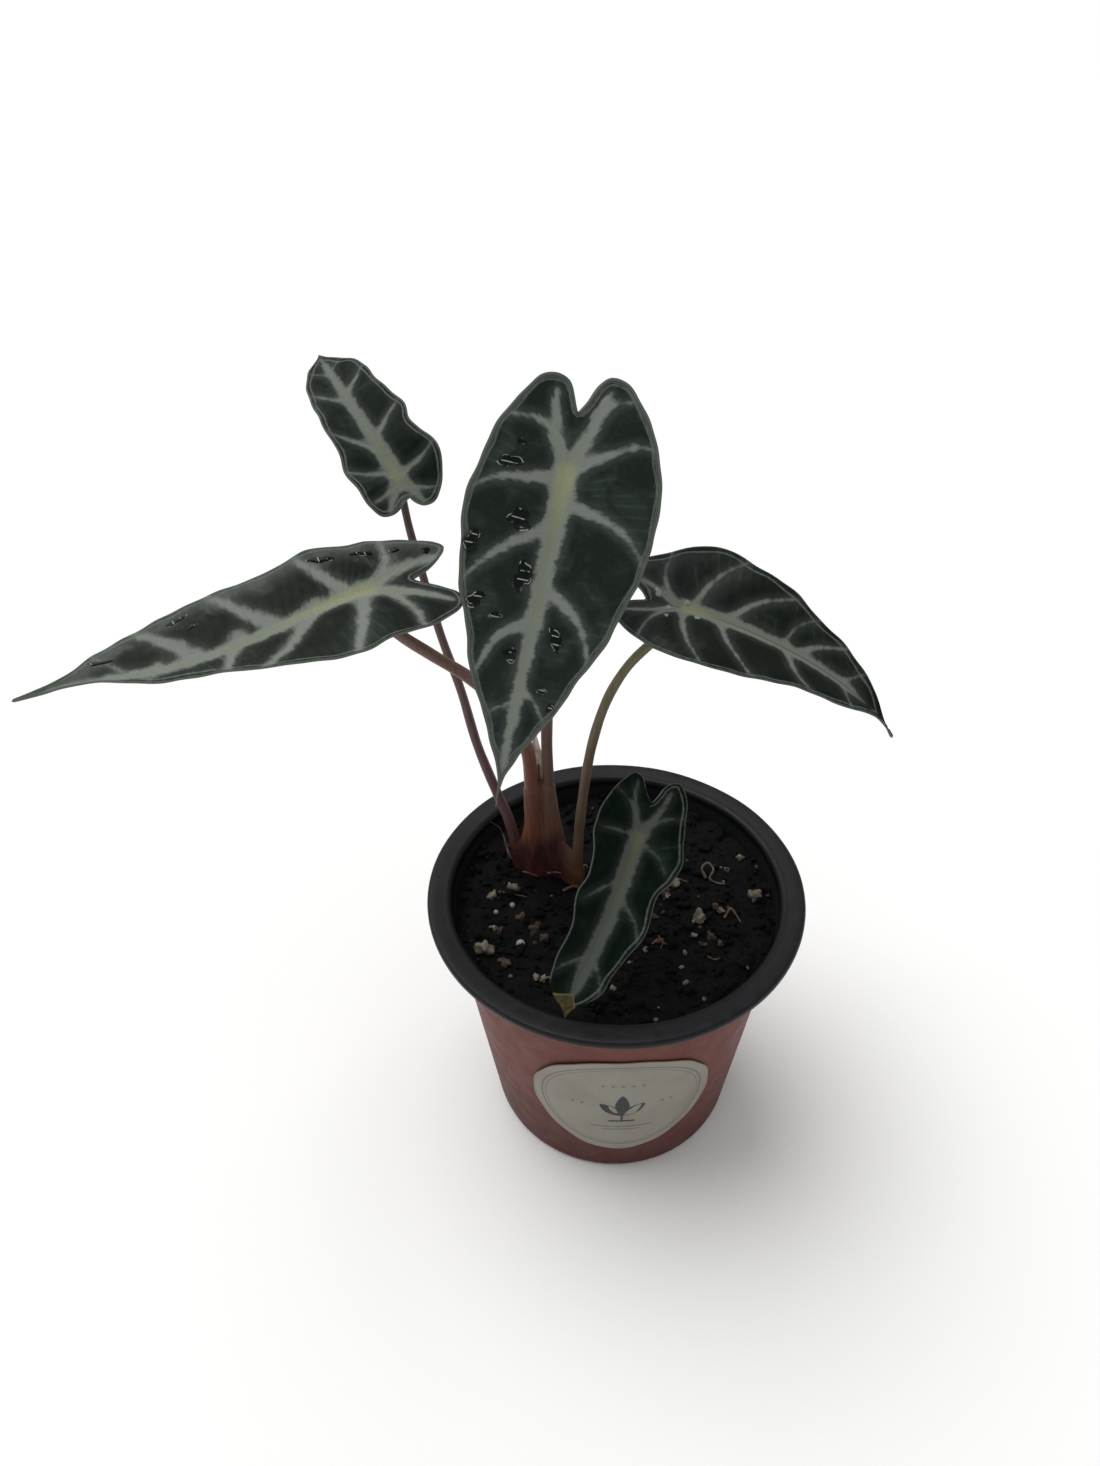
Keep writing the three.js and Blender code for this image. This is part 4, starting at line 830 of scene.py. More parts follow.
def margin_lines(leaf):
    """The two halves of the outline, from the tip to the notch, with the small waves of a grown edge."""
    lines = []
    for half, way in (("plus", 1), ("minus", -1)):
        line = smooth_line([leaf["tip"], *leaf[half], leaf["notch"]], 640)
        run = np.cumsum(np.linalg.norm(np.diff(line, axis=0, prepend=line[:1]), axis=1))
        wave = np.sin(run / 1.9 + leaf["length"]) * np.sin(run / 4.7 + way) + 0.7 * np.sin(run / 3.3 + 2 * way)
        line[:, 0] += 0.17 * way * wave * smoothstep(1, 9, run) * smoothstep(run[-1] - 1, run[-1] - 7, run)
        lines.append(line)
    return lines


def surface_lift(leaf, look, flat, share):
    """Height of the quilted, waved upper surface above the plain bent one."""
    centre = vein_fields(leaf, flat)[2]
    quilt = look.quilt / MM * (1 - np.exp(-(centre / 3.2) ** 2)) * smoothstep(1.0, 0.72, share)
    turn = 2 * np.pi * flat[:, 1] / (0.42 * leaf["length"]) + np.where(flat[:, 0] > 0, 0.0, 2.0)
    flutter = 0.07 * share ** 3 * np.sin(2 * np.pi * flat[:, 1] / 9.3 + leaf["length"])
    return quilt + 0.6 * leaf["wave"] * share ** 2 * np.sin(turn) + flutter


def feet(leaf, rows):
    """Where each row of the mesh starts on the midrib; rows fan out as the veins do."""
    length, notch = leaf["length"], leaf["notch"][1]
    knots = [0, 0.12, 0.3, 0.5, 0.66, 0.8, 0.93, 1]
    starts = [leaf["tip"][1], 0.84 * length, 0.6 * length, 0.3 * length, 0.08 * length, 0.1 * notch,
              0.7 * notch, notch]
    return np.interp(rows, knots, starts)


def build_blade(leaf, look):
    step = look.mesh_step / MM
    outlines = margin_lines(leaf)
    reach = max(np.abs(outline[:, 0]).max() for outline in outlines)
    run = max(np.linalg.norm(np.diff(outline, axis=0), axis=1).sum() for outline in outlines)
    bm = bmesh.new()
    bmesh.ops.create_grid(bm, x_segments=2 * round(reach / step / 1.15), y_segments=round(run / step), size=1)
    grid = places_of(bm)
    share = np.abs(grid[:, 0])
    row = (1 - grid[:, 1]) / 2
    foot = feet(leaf, row)
    spots = np.linspace(0, 1, len(outlines[0]))
    edge_x = np.where(grid[:, 0] >= 0, np.interp(row, spots, outlines[0][:, 0]), np.interp(row, spots, outlines[1][:, 0]))
    edge_y = np.where(grid[:, 0] >= 0, np.interp(row, spots, outlines[0][:, 1]), np.interp(row, spots, outlines[1][:, 1]))
    pointed = 0.55 + 0.45 * smoothstep(0.0, 9.0, leaf["tip"][1] - edge_y)
    flat = np.column_stack([edge_x * share * pointed, foot + (edge_y - foot) * share])
    store(bm, "share", share)
    store(bm, "row", row * run)
    set_places(bm, np.column_stack([flat, np.zeros(len(flat))]))
    bmesh.ops.remove_doubles(bm, verts=bm.verts[:], dist=0.01 * MM)
    flat = places_of(bm)[:, :2] / MM
    layers = bm.verts.layers.float
    share = np.array([vert[layers["share"]] for vert in bm.verts])
    row = np.array([vert[layers["row"]] for vert in bm.verts])
    band, main, centre = vein_fields(leaf, flat)
    margin = np.minimum(*(line_distance(flat, outline[::4])[0] for outline in outlines))
    joint = np.hypot(flat[:, 0], flat[:, 1] * np.where(flat[:, 1] > 0, 0.42, 2.2))
    lift = surface_lift(leaf, look, flat, share)
    bead = 0.3 * np.exp(-((margin - 0.45) / 0.45) ** 2)
    rib = look.rib / MM * (1 - 0.75 * np.clip(flat[:, 1] / leaf["length"], 0, 1)) * np.exp(-(centre / 1.5) ** 2)
    to_tip = smoothstep(0.0, 9.0, leaf["tip"][1] - flat[:, 1])
    rib = rib * np.where(main < 0.8, 1.0, 0.45) * to_tip
    thin = look.thickness / MM * (0.55 + 0.45 * smoothstep(0, 2.5, margin)) * (0.3 + 0.7 * to_tip)
    store(bm, "band", band)
    store(bm, "main", main)
    store(bm, "margin", margin)
    store(bm, "joint", joint)
    store(bm, "flat", np.column_stack([flat, np.zeros(len(flat))]))
    store(bm, "fan", np.column_stack([row, 0.16 * np.abs(flat[:, 0]), np.sign(flat[:, 0]) * 40]))
    inset = np.where(flat[:, 0] > 0, *leaf["collector"])
    store(bm, "collector", margin - inset * (1 + 0.12 * np.sin(row * 0.5 + leaf["length"])))
    store(bm, "edge", share * np.sign(flat[:, 0]))
    if leaf["name"] == "front":
        store(bm, "dry", flat[:, 1] - 49.2 - np.where(flat[:, 0] > 0, 0.3, -1.6) * flat[:, 0])
    set_places(bm, blade_places(leaf, flat, lift + bead))
    thicken(bm, blade_places(leaf, flat, lift - thin - rib * smoothstep(0.0, 3.0, margin)))
    for name in ("share", "row"):
        layers.remove(layers[name])
    return piece(f"leaf_{leaf['name']}", bm, [leaf_top_finish(leaf, look), leaf_under_finish(leaf, look)],
                 [f"blade_{leaf['name']}"])


# Stalks and sheaths
def stalk_line(leaf):
    forward, normal, _ = blade_axes(leaf)
    joint = np.array(leaf["joint"], float)
    last = np.array(leaf["stalk"][-1], float)
    neck = (joint - 3 * normal) * 0.75 + last * 0.25
    head = joint - 0.9 * normal + 0.4 * forward
    foot_x, foot_y = leaf["stalk"][0][:2]
    return smooth_line([(foot_x, foot_y, STALK_FLOOR), *leaf["stalk"], neck, head], 150)


STALK_TONES = {
    "back": (shade(88, 56, 44), shade(88, 58, 60), shade(82, 60, 58)),
    "left": (shade(96, 54, 40), shade(110, 70, 56), shade(104, 78, 68)),
    "centre": (shade(88, 58, 48), shade(98, 74, 64), shade(96, 78, 70)),
    "right": (shade(98, 60, 40), shade(94, 76, 56), shade(100, 96, 68)),
    "front": (shade(92, 58, 42), shade(90, 74, 60), shade(88, 88, 72)),
}


def build_stalk(leaf):
    line = stalk_line(leaf)
    share = np.linspace(0, 1, len(line))
    radii = leaf["foot_radius"] + (leaf["head_radius"] - leaf["foot_radius"]) * share ** 0.7
    radii = radii + 0.45 * np.exp(-share * 12) * leaf["foot_radius"] / 2
    lumps = 1 + 0.025 * np.sin(np.arange(len(line)) * 0.31 + leaf["azimuth"]) + 0.06 * np.exp(-((share - 0.97) / 0.02) ** 2)
    bm = bmesh.new()
    tube(bm, line, radii * lumps, 26, 1.0, 0.012)
    heights = places_of(bm) / MM
    nearest = np.array([np.argmin(((line - place) ** 2).sum(axis=1)) for place in heights])
    store(bm, "along", share[nearest])
    name = leaf["name"]
    return piece(f"stalk_{name}", bm, [stalk_finish(f"stalk_skin_{name}", *STALK_TONES[name])],
                 [f"petiole_{name}"])


# Swellings that join the stalks' feet, as (x, y, radius, height where they end)
CLUMP_KNOBS = [(-29.3, 15.2, 2.1, 103.0), (-28.9, 14.4, 1.6, 108.0), (-16.2, 11.8, 2.6, 102.0), (-23.2, 13.6, 2.6, 96.0),
               (-13.6, 9.4, 2.4, 101.0), (-12.7, 6.0, 2.0, 94.0)]
# How far the clump reaches up each stalk, as (height of its full swelling, height where it ends, swelling, power, fillet)
CLUMP_REACH = {"left": (88, 134, 1.6, 3, 2.2), "centre": (88, 134, 2.9, 1.5, 2.6), "back": (86, 110, 0.5, 1.5, 3.6),
               "right": (86, 104, 0.9, 1.5, 3.0)}


def clump_distance(points, height, axes):
    """Signed distance from the clump's skin, for points at one height."""
    best = np.full(len(points), 50.0)
    for name, (x, y, radius) in axes.items():
        low, high, most, power, fillet = CLUMP_REACH[name]
        swell = most * smoothstep(high, low, height) ** power - 1.2 * smoothstep(high - 12, high, height)
        best = soft_min(best, np.hypot(points[:, 0] - x, points[:, 1] - y) - radius - swell, fillet)
    for x, y, radius, top in CLUMP_KNOBS:
        size = radius * math.sqrt(max(1 - max(height - top + 7, 0) / 7, 0)) if height < top else -9
        best = soft_min(best, np.hypot(points[:, 0] - x, points[:, 1] - y) - size, 2.0)
    return best


def build_clump(finish):
    """The wrapped sheaths in which the stalks' feet stand, as one smooth body that thins out up the stalks."""
    heights = np.concatenate([np.arange(84, 104, 0.45), np.arange(104, 134.5, 0.75)])
    lines = {leaf["name"]: (stalk_line(leaf), leaf["foot_radius"]) for leaf in LEAVES if leaf["name"] in CLUMP_REACH}
    bm = bmesh.new()
    turns = 88
    bmesh.ops.create_grid(bm, x_segments=turns, y_segments=len(heights) - 1, size=1)
    steps = np.arange(0.15, 18, 0.08)
    rings = []
    for height in heights:
        axes = {}
        for name, (line, radius) in lines.items():
            axes[name] = (np.interp(height, line[:75, 2], line[:75, 0]), np.interp(height, line[:75, 2], line[:75, 1]), radius)
        middle = (np.array(axes["left"][:2]) + np.array(axes["centre"][:2])) / 2
        ring = []
        for turn in np.linspace(0, 2 * math.pi, turns + 1):
            way = np.array([math.cos(turn), math.sin(turn)])
            outside = clump_distance(middle + steps[:, None] * way, height, axes) > 0
            reach = steps[np.argmax(outside)] if outside.any() else steps[-1]
            folds = 0.1 * math.sin(13 * turn + 0.3 * height) + 0.16 * noise.noise((3 * way[0], 3 * way[1], 0.22 * height))
            ring.append([*(middle + (reach + folds) * way), height])
        rings.append(ring)
    rings = np.array(rings)
    for _ in range(2):
        smooth = rings.copy()
        smooth[1:-1] = (rings[:-2] + 2 * rings[1:-1] + rings[2:]) / 4
        rings[:, :, :2] = smooth[:, :, :2]
    for vert in bm.verts:
        column = round((vert.co.x + 1) / 2 * turns) % turns
        row = round((vert.co.y + 1) / 2 * (len(heights) - 1))
        vert.co = Vector(rings[row][column]) * MM
    bmesh.ops.remove_doubles(bm, verts=bm.verts[:], dist=1e-7)
    bmesh.ops.holes_fill(bm, edges=[edge for edge in bm.edges if edge.is_boundary], sides=0)
    bmesh.ops.recalc_face_normals(bm, faces=bm.faces[:])
    return piece("clasping_clump", bm, [finish])


def clump_finish():
    finish = Finish("clasping_sheaths", **{"Specular IOR Level": 0.3})
    place = finish.place()
    spots = finish.grain(finish.place((1, 1, 0.4)), 0.3, 3.0, 0.6)
    parts = finish.node("SeparateXYZ", {0: place}).outputs
    height = finish.calc("ADD", parts[2], finish.calc("MULTIPLY", finish.calc("SUBTRACT", spots, 0.5), 9.0))
    shafts = finish.blend(finish.fade(parts[0], -24.5, -22.0), shade(104, 66, 52), shade(98, 74, 64))
    orange = finish.blend(finish.fade(parts[0], -30.0, -24.0, 0.9, 0.3), shafts, shade(116, 66, 36))
    colour = finish.blend(finish.fade(height, 108.0, 118.0), orange, shafts)
    maroon = finish.blend(finish.fade(spots, 0.4, 0.65), shade(58, 29, 33), shade(80, 40, 35))
    right_foot = finish.blend(finish.fade(parts[0], -18.0, -14.0), maroon, shade(84, 54, 39))
    colour = finish.blend(finish.fade(height, 99.0, 108.5), right_foot, colour)
    fibres = finish.grain(finish.place((1, 1, 0.06)), 1.0, 4.0, 0.65)
    colour = finish.blend(finish.fade(fibres, 0.45, 0.75, 0.0, 0.45), colour, shade(36, 18, 18))
    finish.set("Base Color", colour)
    finish.set("Roughness", finish.fade(fibres, 0.3, 0.8, 0.5, 0.68))
    finish.bump(fibres, 0.35, 0.3)
    return finish.material


def build_cataphyll(finish):
    """The papery dry sheath that stands between the two middle stalks."""
    spine = smooth_line([(-23.8, 18.6, 84), (-24.3, 18.6, 108), (-25, 18.1, 126), (-25.4, 17.9, 138), (-25.6, 17.4, 146)], 90)
    bm = bmesh.new()
    bmesh.ops.create_grid(bm, x_segments=16, y_segments=89, size=1)
    front, back = [], []
    for vert in bm.verts:
        u, v = vert.co.x, (vert.co.y + 1) / 2
        ring = round(v * 89)
        half = 1.75 * (1 - 0.75 * max(v - 0.82, 0) / 0.18) * (1 + 0.08 * math.sin(17 * v))
        cup = -0.55 * u * u + 0.3 * math.sin(11 * v + 2.5 * u)
        rise = -2.2 * abs(u) ** 1.5 * max(v - 0.8, 0) / 0.2
        place = spine[ring] + np.array([u * half, cup, rise])
        front.append(place)
        back.append(place + np.array([0, 0.3, 0]))
    set_places(bm, front)
    thicken(bm, back)
    for face in bm.faces:
        face.material_index = 0
    return piece("sheath_papery", bm, [finish], ["cataphyll"])


# Pot
def wall_radius(height):
    return BASE_RADIUS + (WALL_TOP_RADIUS - BASE_RADIUS) * min(height / 93.0, 1)


def arc(centre, radius, start, end, count):
    turns = np.radians(np.linspace(start, end, count))
    return [(centre[0] + radius * math.cos(turn), centre[1] + radius * math.sin(turn)) for turn in turns]


def build_pot(look):
    height = look.height / MM
    under = height - look.rim_depth / MM
    lip = 1.2
    profile = [(0, 1.6), (12, 1.6), (30, 1.2), (35.5, 1.0), (36.5, 0.4), (37.2, 0), (BASE_RADIUS - 2.4, 0)]
    profile += arc((BASE_RADIUS - 1.9, 1.9), 1.9, -80, -8, 7)
    profile += [(wall_radius(level), level) for level in (3, 4, 20, 40, 60, 75, 88)]
    profile += [(WALL_TOP_RADIUS - 0.2, under - 1.2), (WALL_TOP_RADIUS + 0.5, under - 0.35), (WALL_TOP_RADIUS + 1.4, under)]
    profile += [(RIM_RADIUS - lip - 0.3, under)] + arc((RIM_RADIUS - lip, under + lip), lip, -80, 0, 6)
    profile += arc((RIM_RADIUS - lip, height - lip - 0.05), lip, 8, 88, 8)
    profile += [(RIM_RADIUS - 2.6, height - 0.1), (WALL_TOP_RADIUS + 2.2, height - 0.3)]
    profile += arc((WALL_TOP_RADIUS + 1.0, height - 2.3), 1.9, 80, 178, 8)
    profile += [(WALL_TOP_RADIUS - WALL, under - 1), (wall_radius(80) - WALL, 80), (wall_radius(40) - WALL, 40),
                (wall_radius(5) - WALL, 5), (BASE_RADIUS - 3, 2.6), (30, 2.4), (0, 2.6)]
    bm = bmesh.new()
    row = [bm.verts.new((radius * MM, 0, level * MM)) for radius, level in profile]
    edges = [bm.edges.new(pair) for pair in zip(row, row[1:])]
    bmesh.ops.spin(bm, geom=row + edges, cent=(0, 0, 0), axis=(0, 0, 1), angle=2 * math.pi, steps=160, use_merge=True)
    bmesh.ops.remove_doubles(bm, verts=bm.verts[:], dist=1e-6)
    bmesh.ops.recalc_face_normals(bm, faces=bm.faces[:])
    for face in bm.faces:
        middle = face.calc_center_median() / MM
        outward = face.normal.x * middle.x + face.normal.y * middle.y > -0.01 or face.normal.z < -0.5
        face.material_index = 0 if middle.z < under - 0.6 and outward and face.normal.z < 0.4 else 1
    for vert in bm.verts:
        turn = math.atan2(vert.co.y, vert.co.x)
        level = vert.co.z / MM
        if level > under - 2:
            dent = 0.12 * math.sin(3 * turn + 1.0) + 0.07 * math.sin(11 * turn)
            vert.co.z += dent * MM
    pot = piece("pot_shell", bm, [pot_outside_finish(look), pot_black_finish(look)], ["pot"], 40)
    cut_drains(pot)
    return pot


def cut_drains(pot):
    """Cuts the drain holes through the pot's floor and keeps the result as the pot's own mesh."""
    bm = bmesh.new()
    for i in range(DRAINS):
        turn = 2 * math.pi * (i + 0.5) / DRAINS
        place = Vector((DRAIN_CIRCLE * math.cos(turn), DRAIN_CIRCLE * math.sin(turn), 1.5)) * MM
        bmesh.ops.create_cone(bm, cap_ends=True, segments=32, radius1=DRAIN_RADIUS * MM, radius2=DRAIN_RADIUS * MM,
                              depth=6 * MM, matrix=Matrix.Translation(place))
    mesh = bpy.data.meshes.new("drain_cutter")
    bm.to_mesh(mesh)
    bm.free()
    cutter = bpy.data.objects.new("drain_cutter", mesh)
    bpy.context.scene.collection.objects.link(cutter)
    modifier = pot.modifiers.new("drains", "BOOLEAN")
    modifier.operation = "DIFFERENCE"
    modifier.solver = "EXACT"
    modifier.object = cutter
    graph = bpy.context.evaluated_depsgraph_get()
    cut = bpy.data.meshes.new_from_object(pot.evaluated_get(graph))
    pot.modifiers.clear()
    pot.data = cut
    bpy.data.objects.remove(cutter)


# Label
def label_place(across, up, lift):
    radius = wall_radius(LABEL_HEIGHT + up) + lift
    turn = LABEL_TURN + across / wall_radius(LABEL_HEIGHT)
    return radius * math.sin(turn), -radius * math.cos(turn), LABEL_HEIGHT + up


def build_label(look):
    radius = look.radius / MM
    lift = LABEL_GAP + look.thickness / MM
    bm = bmesh.new()
    disc(bm, [radius * MM * step / 16 for step in range(17)], 120)
    flat = places_of(bm)[:, :2] / MM
    reach = np.linalg.norm(flat, axis=1)
    turn = np.arctan2(flat[:, 1], flat[:, 0])
    edge = smoothstep(radius - 3, radius, reach)
    flat = flat * (1 - 0.012 * edge * (1 + np.sin(9 * turn) * np.sin(4 * turn + 1)))[:, None]
    curl = 0.3 * edge * (0.5 + 0.5 * np.sin(3 * turn + 0.6))
    store(bm, "sheet", np.column_stack([flat, np.zeros(len(flat))]))
    set_places(bm, [label_place(x, y, lift + up) for (x, y), up in zip(flat, curl)])
    thicken(bm, [label_place(x, y, LABEL_GAP + up) for (x, y), up in zip(flat, curl)])
    for face in bm.faces:
        face.material_index = 0
    piece("label_sheet", bm, [label_paper_finish(look)], ["label"], 50)


def print_leaf(bm, lift, x, y, length, width, turn):
    """Adds one printed leaflet on the label."""
    made = bmesh.ops.create_circle(bm, cap_ends=True, segments=14, radius=1)["verts"]
    for vert in made:
        along = vert.co.x
        across = vert.co.y * (1 - abs(along)) ** 0.25
        px = x + length * (along + 1) / 2 * math.cos(turn) - across * width / 2 * math.sin(turn)
        py = y + length * (along + 1) / 2 * math.sin(turn) + across * width / 2 * math.cos(turn)
        vert.co = Vector(label_place(px, py, lift)) * MM


def print_rule(bm, lift, x, y, length, height):
    """Adds one short printed bar, bent round the label."""
    made = bmesh.ops.create_grid(bm, x_segments=12, y_segments=1, size=1)["verts"]
    for vert in made:
        vert.co = Vector(label_place(x + vert.co.x * length / 2, y + vert.co.y * height / 2, lift)) * MM


def build_print(look):
    """A plain design: three broad leaves over two rules, with a row of dots above, inside the ringed border."""
    lift = LABEL_GAP + look.thickness / MM + 0.04
    dark = bmesh.new()
    for lean, length in ((0, 13.5), (42, 10.5), (-42, 10.5)):
        print_leaf(dark, lift, 0, -5.5, length, 4.6, math.radians(90 + lean))
    print_rule(dark, lift, 0, -6.6, 0.7, 4.2)
    print_rule(dark, lift, 0, -9.2, 8.5, 0.9)
    piece("label_motif", dark, [ink_finish("label_ink", look.ink)])
    soft = bmesh.new()
    print_rule(soft, lift, 0, -13.2, 21, 0.6)
    print_rule(soft, lift, 0, -15.2, 13, 0.5)
    for x in (-15.5, -12.6, 12.6, 15.5):
        print_leaf(soft, lift, x - 0.7, 1.5, 1.4, 1.4, 0)
    piece("label_rules", soft, [ink_finish("label_ink_soft", look.ink_soft)])
    warm = bmesh.new()
    for x in (-6, -3, 0, 3, 6):
        print_leaf(warm, lift, x - 0.6, 14.2, 1.2, 1.2, 0)
    piece("label_dots", warm, [ink_finish("label_ink_warm", look.ink_warm)])


# Soil
def soil_height(x, y):
    """Height of the soil, in millimetres: the frame's slow swell with clods and grit on it."""
    ripple = math.sin(x * 0.21 + 1.3) * math.cos(y * 0.17 - 0.4) + 0.6 * math.sin(x * 0.47 - y * 0.39)
    clods = 0.9 * noise.noise((x * 0.13, y * 0.13, 2.1)) + 0.75 * noise.noise((x * 0.34, y * 0.34, 7.7))
    grit = 0.5 * noise.noise((x * 0.8, y * 0.8, 4.4)) + 0.3 * noise.noise((x * 1.7, y * 1.7, 9.2))
    return 0.55 * ripple + clods + grit


def build_soil(look):
    level = look.level / MM
    top = wall_radius(level) - WALL - 0.1
    bottom = wall_radius(2) - WALL - 0.5
    bm = bmesh.new()
    radii = [0, 0.3] + [top * math.sqrt(step / 110) for step in range(1, 111)]
    disc(bm, [radius * MM for radius in radii], 240)
    rim = [edge for edge in bm.edges if edge.is_boundary]
    for vert in bm.verts:
        x, y = vert.co.x / MM, vert.co.y / MM
        reach = math.hypot(x, y)
        slump = 1.4 * max(0, reach - top + 4) / 4 * (0.5 + noise.noise((x * 0.3, y * 0.3, 0.5)))
        vert.co.z = (level + soil_height(x, y) - slump) * MM
    wall = bmesh.ops.extrude_edge_only(bm, edges=rim)
    skirt = [item for item in wall["geom"] if isinstance(item, bmesh.types.BMVert)]
    for vert in skirt:
        turn = math.atan2(vert.co.y, vert.co.x)
        vert.co = Vector((bottom * math.cos(turn), bottom * math.sin(turn), 3.2)) * MM
    bmesh.ops.holes_fill(bm, edges=[edge for edge in bm.edges if edge.is_boundary], sides=0)
    bmesh.ops.recalc_face_normals(bm, faces=bm.faces[:])
    piece("soil_bed", bm, [soil_finish(look)], ["soil"])


def near_stalk(x, y, room):
    return any(math.hypot(x - leaf["stalk"][0][0], y - leaf["stalk"][0][1]) < room for leaf in LEAVES)


def build_crumbs(look):
    level = look.level / MM
    draw = random.Random(look.seed)
    top = wall_radius(level) - WALL - 1.2
    peat, chips, white, beads = bmesh.new(), bmesh.new(), bmesh.new(), bmesh.new()
    for i in range(look.crumbs):
        turn, reach = draw.uniform(0, 2 * math.pi), top * math.sqrt(draw.random())
        x, y = reach * math.cos(turn), reach * math.sin(turn)
        size = 0.45 + 1.3 * draw.random() ** 3
        stretch = (draw.uniform(0.9, 1.9), draw.uniform(0.7, 1.2), draw.uniform(0.5, 0.9))
        if not near_stalk(x, y, 2.6):
            lump(peat, (x, y, level + soil_height(x, y) + 0.25 * size), size, stretch, 0.8, draw)
    for i in range(46):
        turn, reach = draw.uniform(0, 2 * math.pi), top * math.sqrt(draw.random())
        x, y = reach * math.cos(turn), reach * math.sin(turn)
        size = 0.3 + 0.5 * draw.random()
        target = white if i % 3 == 0 else chips
        if not near_stalk(x, y, 4):
            lump(target, (x, y, level + soil_height(x, y) + 0.4 * size), size, (1.2, 1, 0.8), 0.7, draw)
    for kind, x, y, size in SOIL_BITS:
        z = level + soil_height(x, y) + 0.45 * size
        if kind == "bead":
            lump(beads, (x, y, z), size, (1, 1, 0.95), 0.12, draw, 3)
        elif kind == "bark":
            lump(chips, (x, y, z - 0.2 * size), size, (1.25, 0.9, 0.6), 0.9, draw, 3)
        else:
            lump(white, (x, y, z), size, (1.15, 0.95, 0.8), 1.0, draw, 3)
    piece("peat_crumbs", peat, [soil_finish(look)])
    piece("bark_bits", chips, [crumb_finish("bark_chip", shade(84, 68, 56), shade(56, 42, 34), 1.4, 0.85)])
    piece("perlite_grains", white, [crumb_finish("perlite", shade(130, 125, 110), shade(86, 78, 62), 1.2, 0.8)])
    piece("white_beads", beads, [crumb_finish("white_bead", shade(166, 164, 160), shade(120, 116, 110), 1.0, 0.55)])


# Roots and straw on the soil, each as (points above the soil as x, y, rise; radius)
CURLS = [
    ([(30, 12, 1), (28.6, 14.6, 2.2), (30.6, 16.6, 2.6), (32.4, 14.4, 2.2), (31.2, 11.6, 1.4), (33.6, 8.8, 0.9), (36, 8.2, 0.6)], 0.5),
    ([(35, -5, 0.6), (37, -3, 1.8), (38.5, -4.6, 1.2), (40, -7.6, 0.4)], 0.42),
    ([(12, -17, 0.4), (14, -16, 1.2), (16.5, -17.6, 0.5)], 0.35),
    ([(14, -14.2, 0.4), (15.2, -17, 1.0), (14.6, -19.4, 0.3)], 0.3),
    ([(-38, 2.6, 0.5), (-33, 0.4, 1.4), (-28.5, 0.6, 0.5)], 0.32),
    ([(-17, 4, 0.6), (-13.5, 5.4, 1.2), (-9, 5.2, 0.8), (-4.6, 7.4, 0.4)], 0.42),
    ([(-22, -33, 0.4), (-19, -32, 1.1), (-15.6, -33.4, 0.5)], 0.4),
    ([(18, 12, 0.5), (21.5, 9.4, 1.5), (24, 9.6, 0.8)], 0.4),
    ([(28, -20, 0.3), (31, -22.5, 1.0), (33.4, -21, 0.4)], 0.3),
]


def build_curls(look):
    level = look.level / MM
    bm = bmesh.new()
    for points, radius in CURLS:
        line = smooth_line([(x, y, level + soil_height(x, y) + rise) for x, y, rise in points], 40)
        share = np.linspace(0, 1, 40)
        part = bmesh.new()
        tube(part, line, radius * (1 - 0.5 * share) * (1 + 0.15 * np.sin(share * 23)), 9)
        mesh = bpy.data.meshes.new("strand")
        part.to_mesh(mesh)
        part.free()
        bm.from_mesh(mesh)
        bpy.data.meshes.remove(mesh)
    piece("root_curls", bm, [crumb_finish("dry_root", shade(112, 96, 80), shade(74, 60, 48), 1.2, 0.8)])


# Dry scraps at the stalks' feet, each as (points as x, y, height, radius)
SCRAPS = [
    ([(-34.0, 16.6, 88), (-35.2, 16.0, 91), (-36.3, 16.0, 96), (-37.3, 16.4, 101.5)], 0.55),
    ([(-35.4, 16.8, 95), (-36.9, 16, 100), (-37.2, 15.2, 103), (-38.6, 15, 106.2), (-41, 15, 108)], 0.16),
    ([(-30.6, 11.4, 89), (-28.4, 10.1, 89.8), (-25.6, 9.6, 89)], 0.4),
    ([(-22.4, 10.2, 90), (-19.6, 9.6, 91.2), (-16.8, 9.9, 90)], 0.45),
    ([(-10.8, 13.6, 88.6), (-10.2, 14.6, 89.8), (-9.2, 14.4, 88.8)], 0.5),
]


def build_scraps():
    bm = bmesh.new()
    for points, radius in SCRAPS:
        share = np.linspace(0, 1, 40)
        part = bmesh.new()
        tube(part, smooth_line(points, 40), radius * (1 - 0.6 * share) * (1 + 0.2 * np.sin(share * 19)), 9, 0.45)
        mesh = bpy.data.meshes.new("strand")
        part.to_mesh(mesh)
        part.free()
        bm.from_mesh(mesh)
        bpy.data.meshes.remove(mesh)
    piece("dry_scraps", bm, [crumb_finish("dry_scraps", shade(150, 138, 122), shade(100, 86, 72), 1.2, 0.8)])


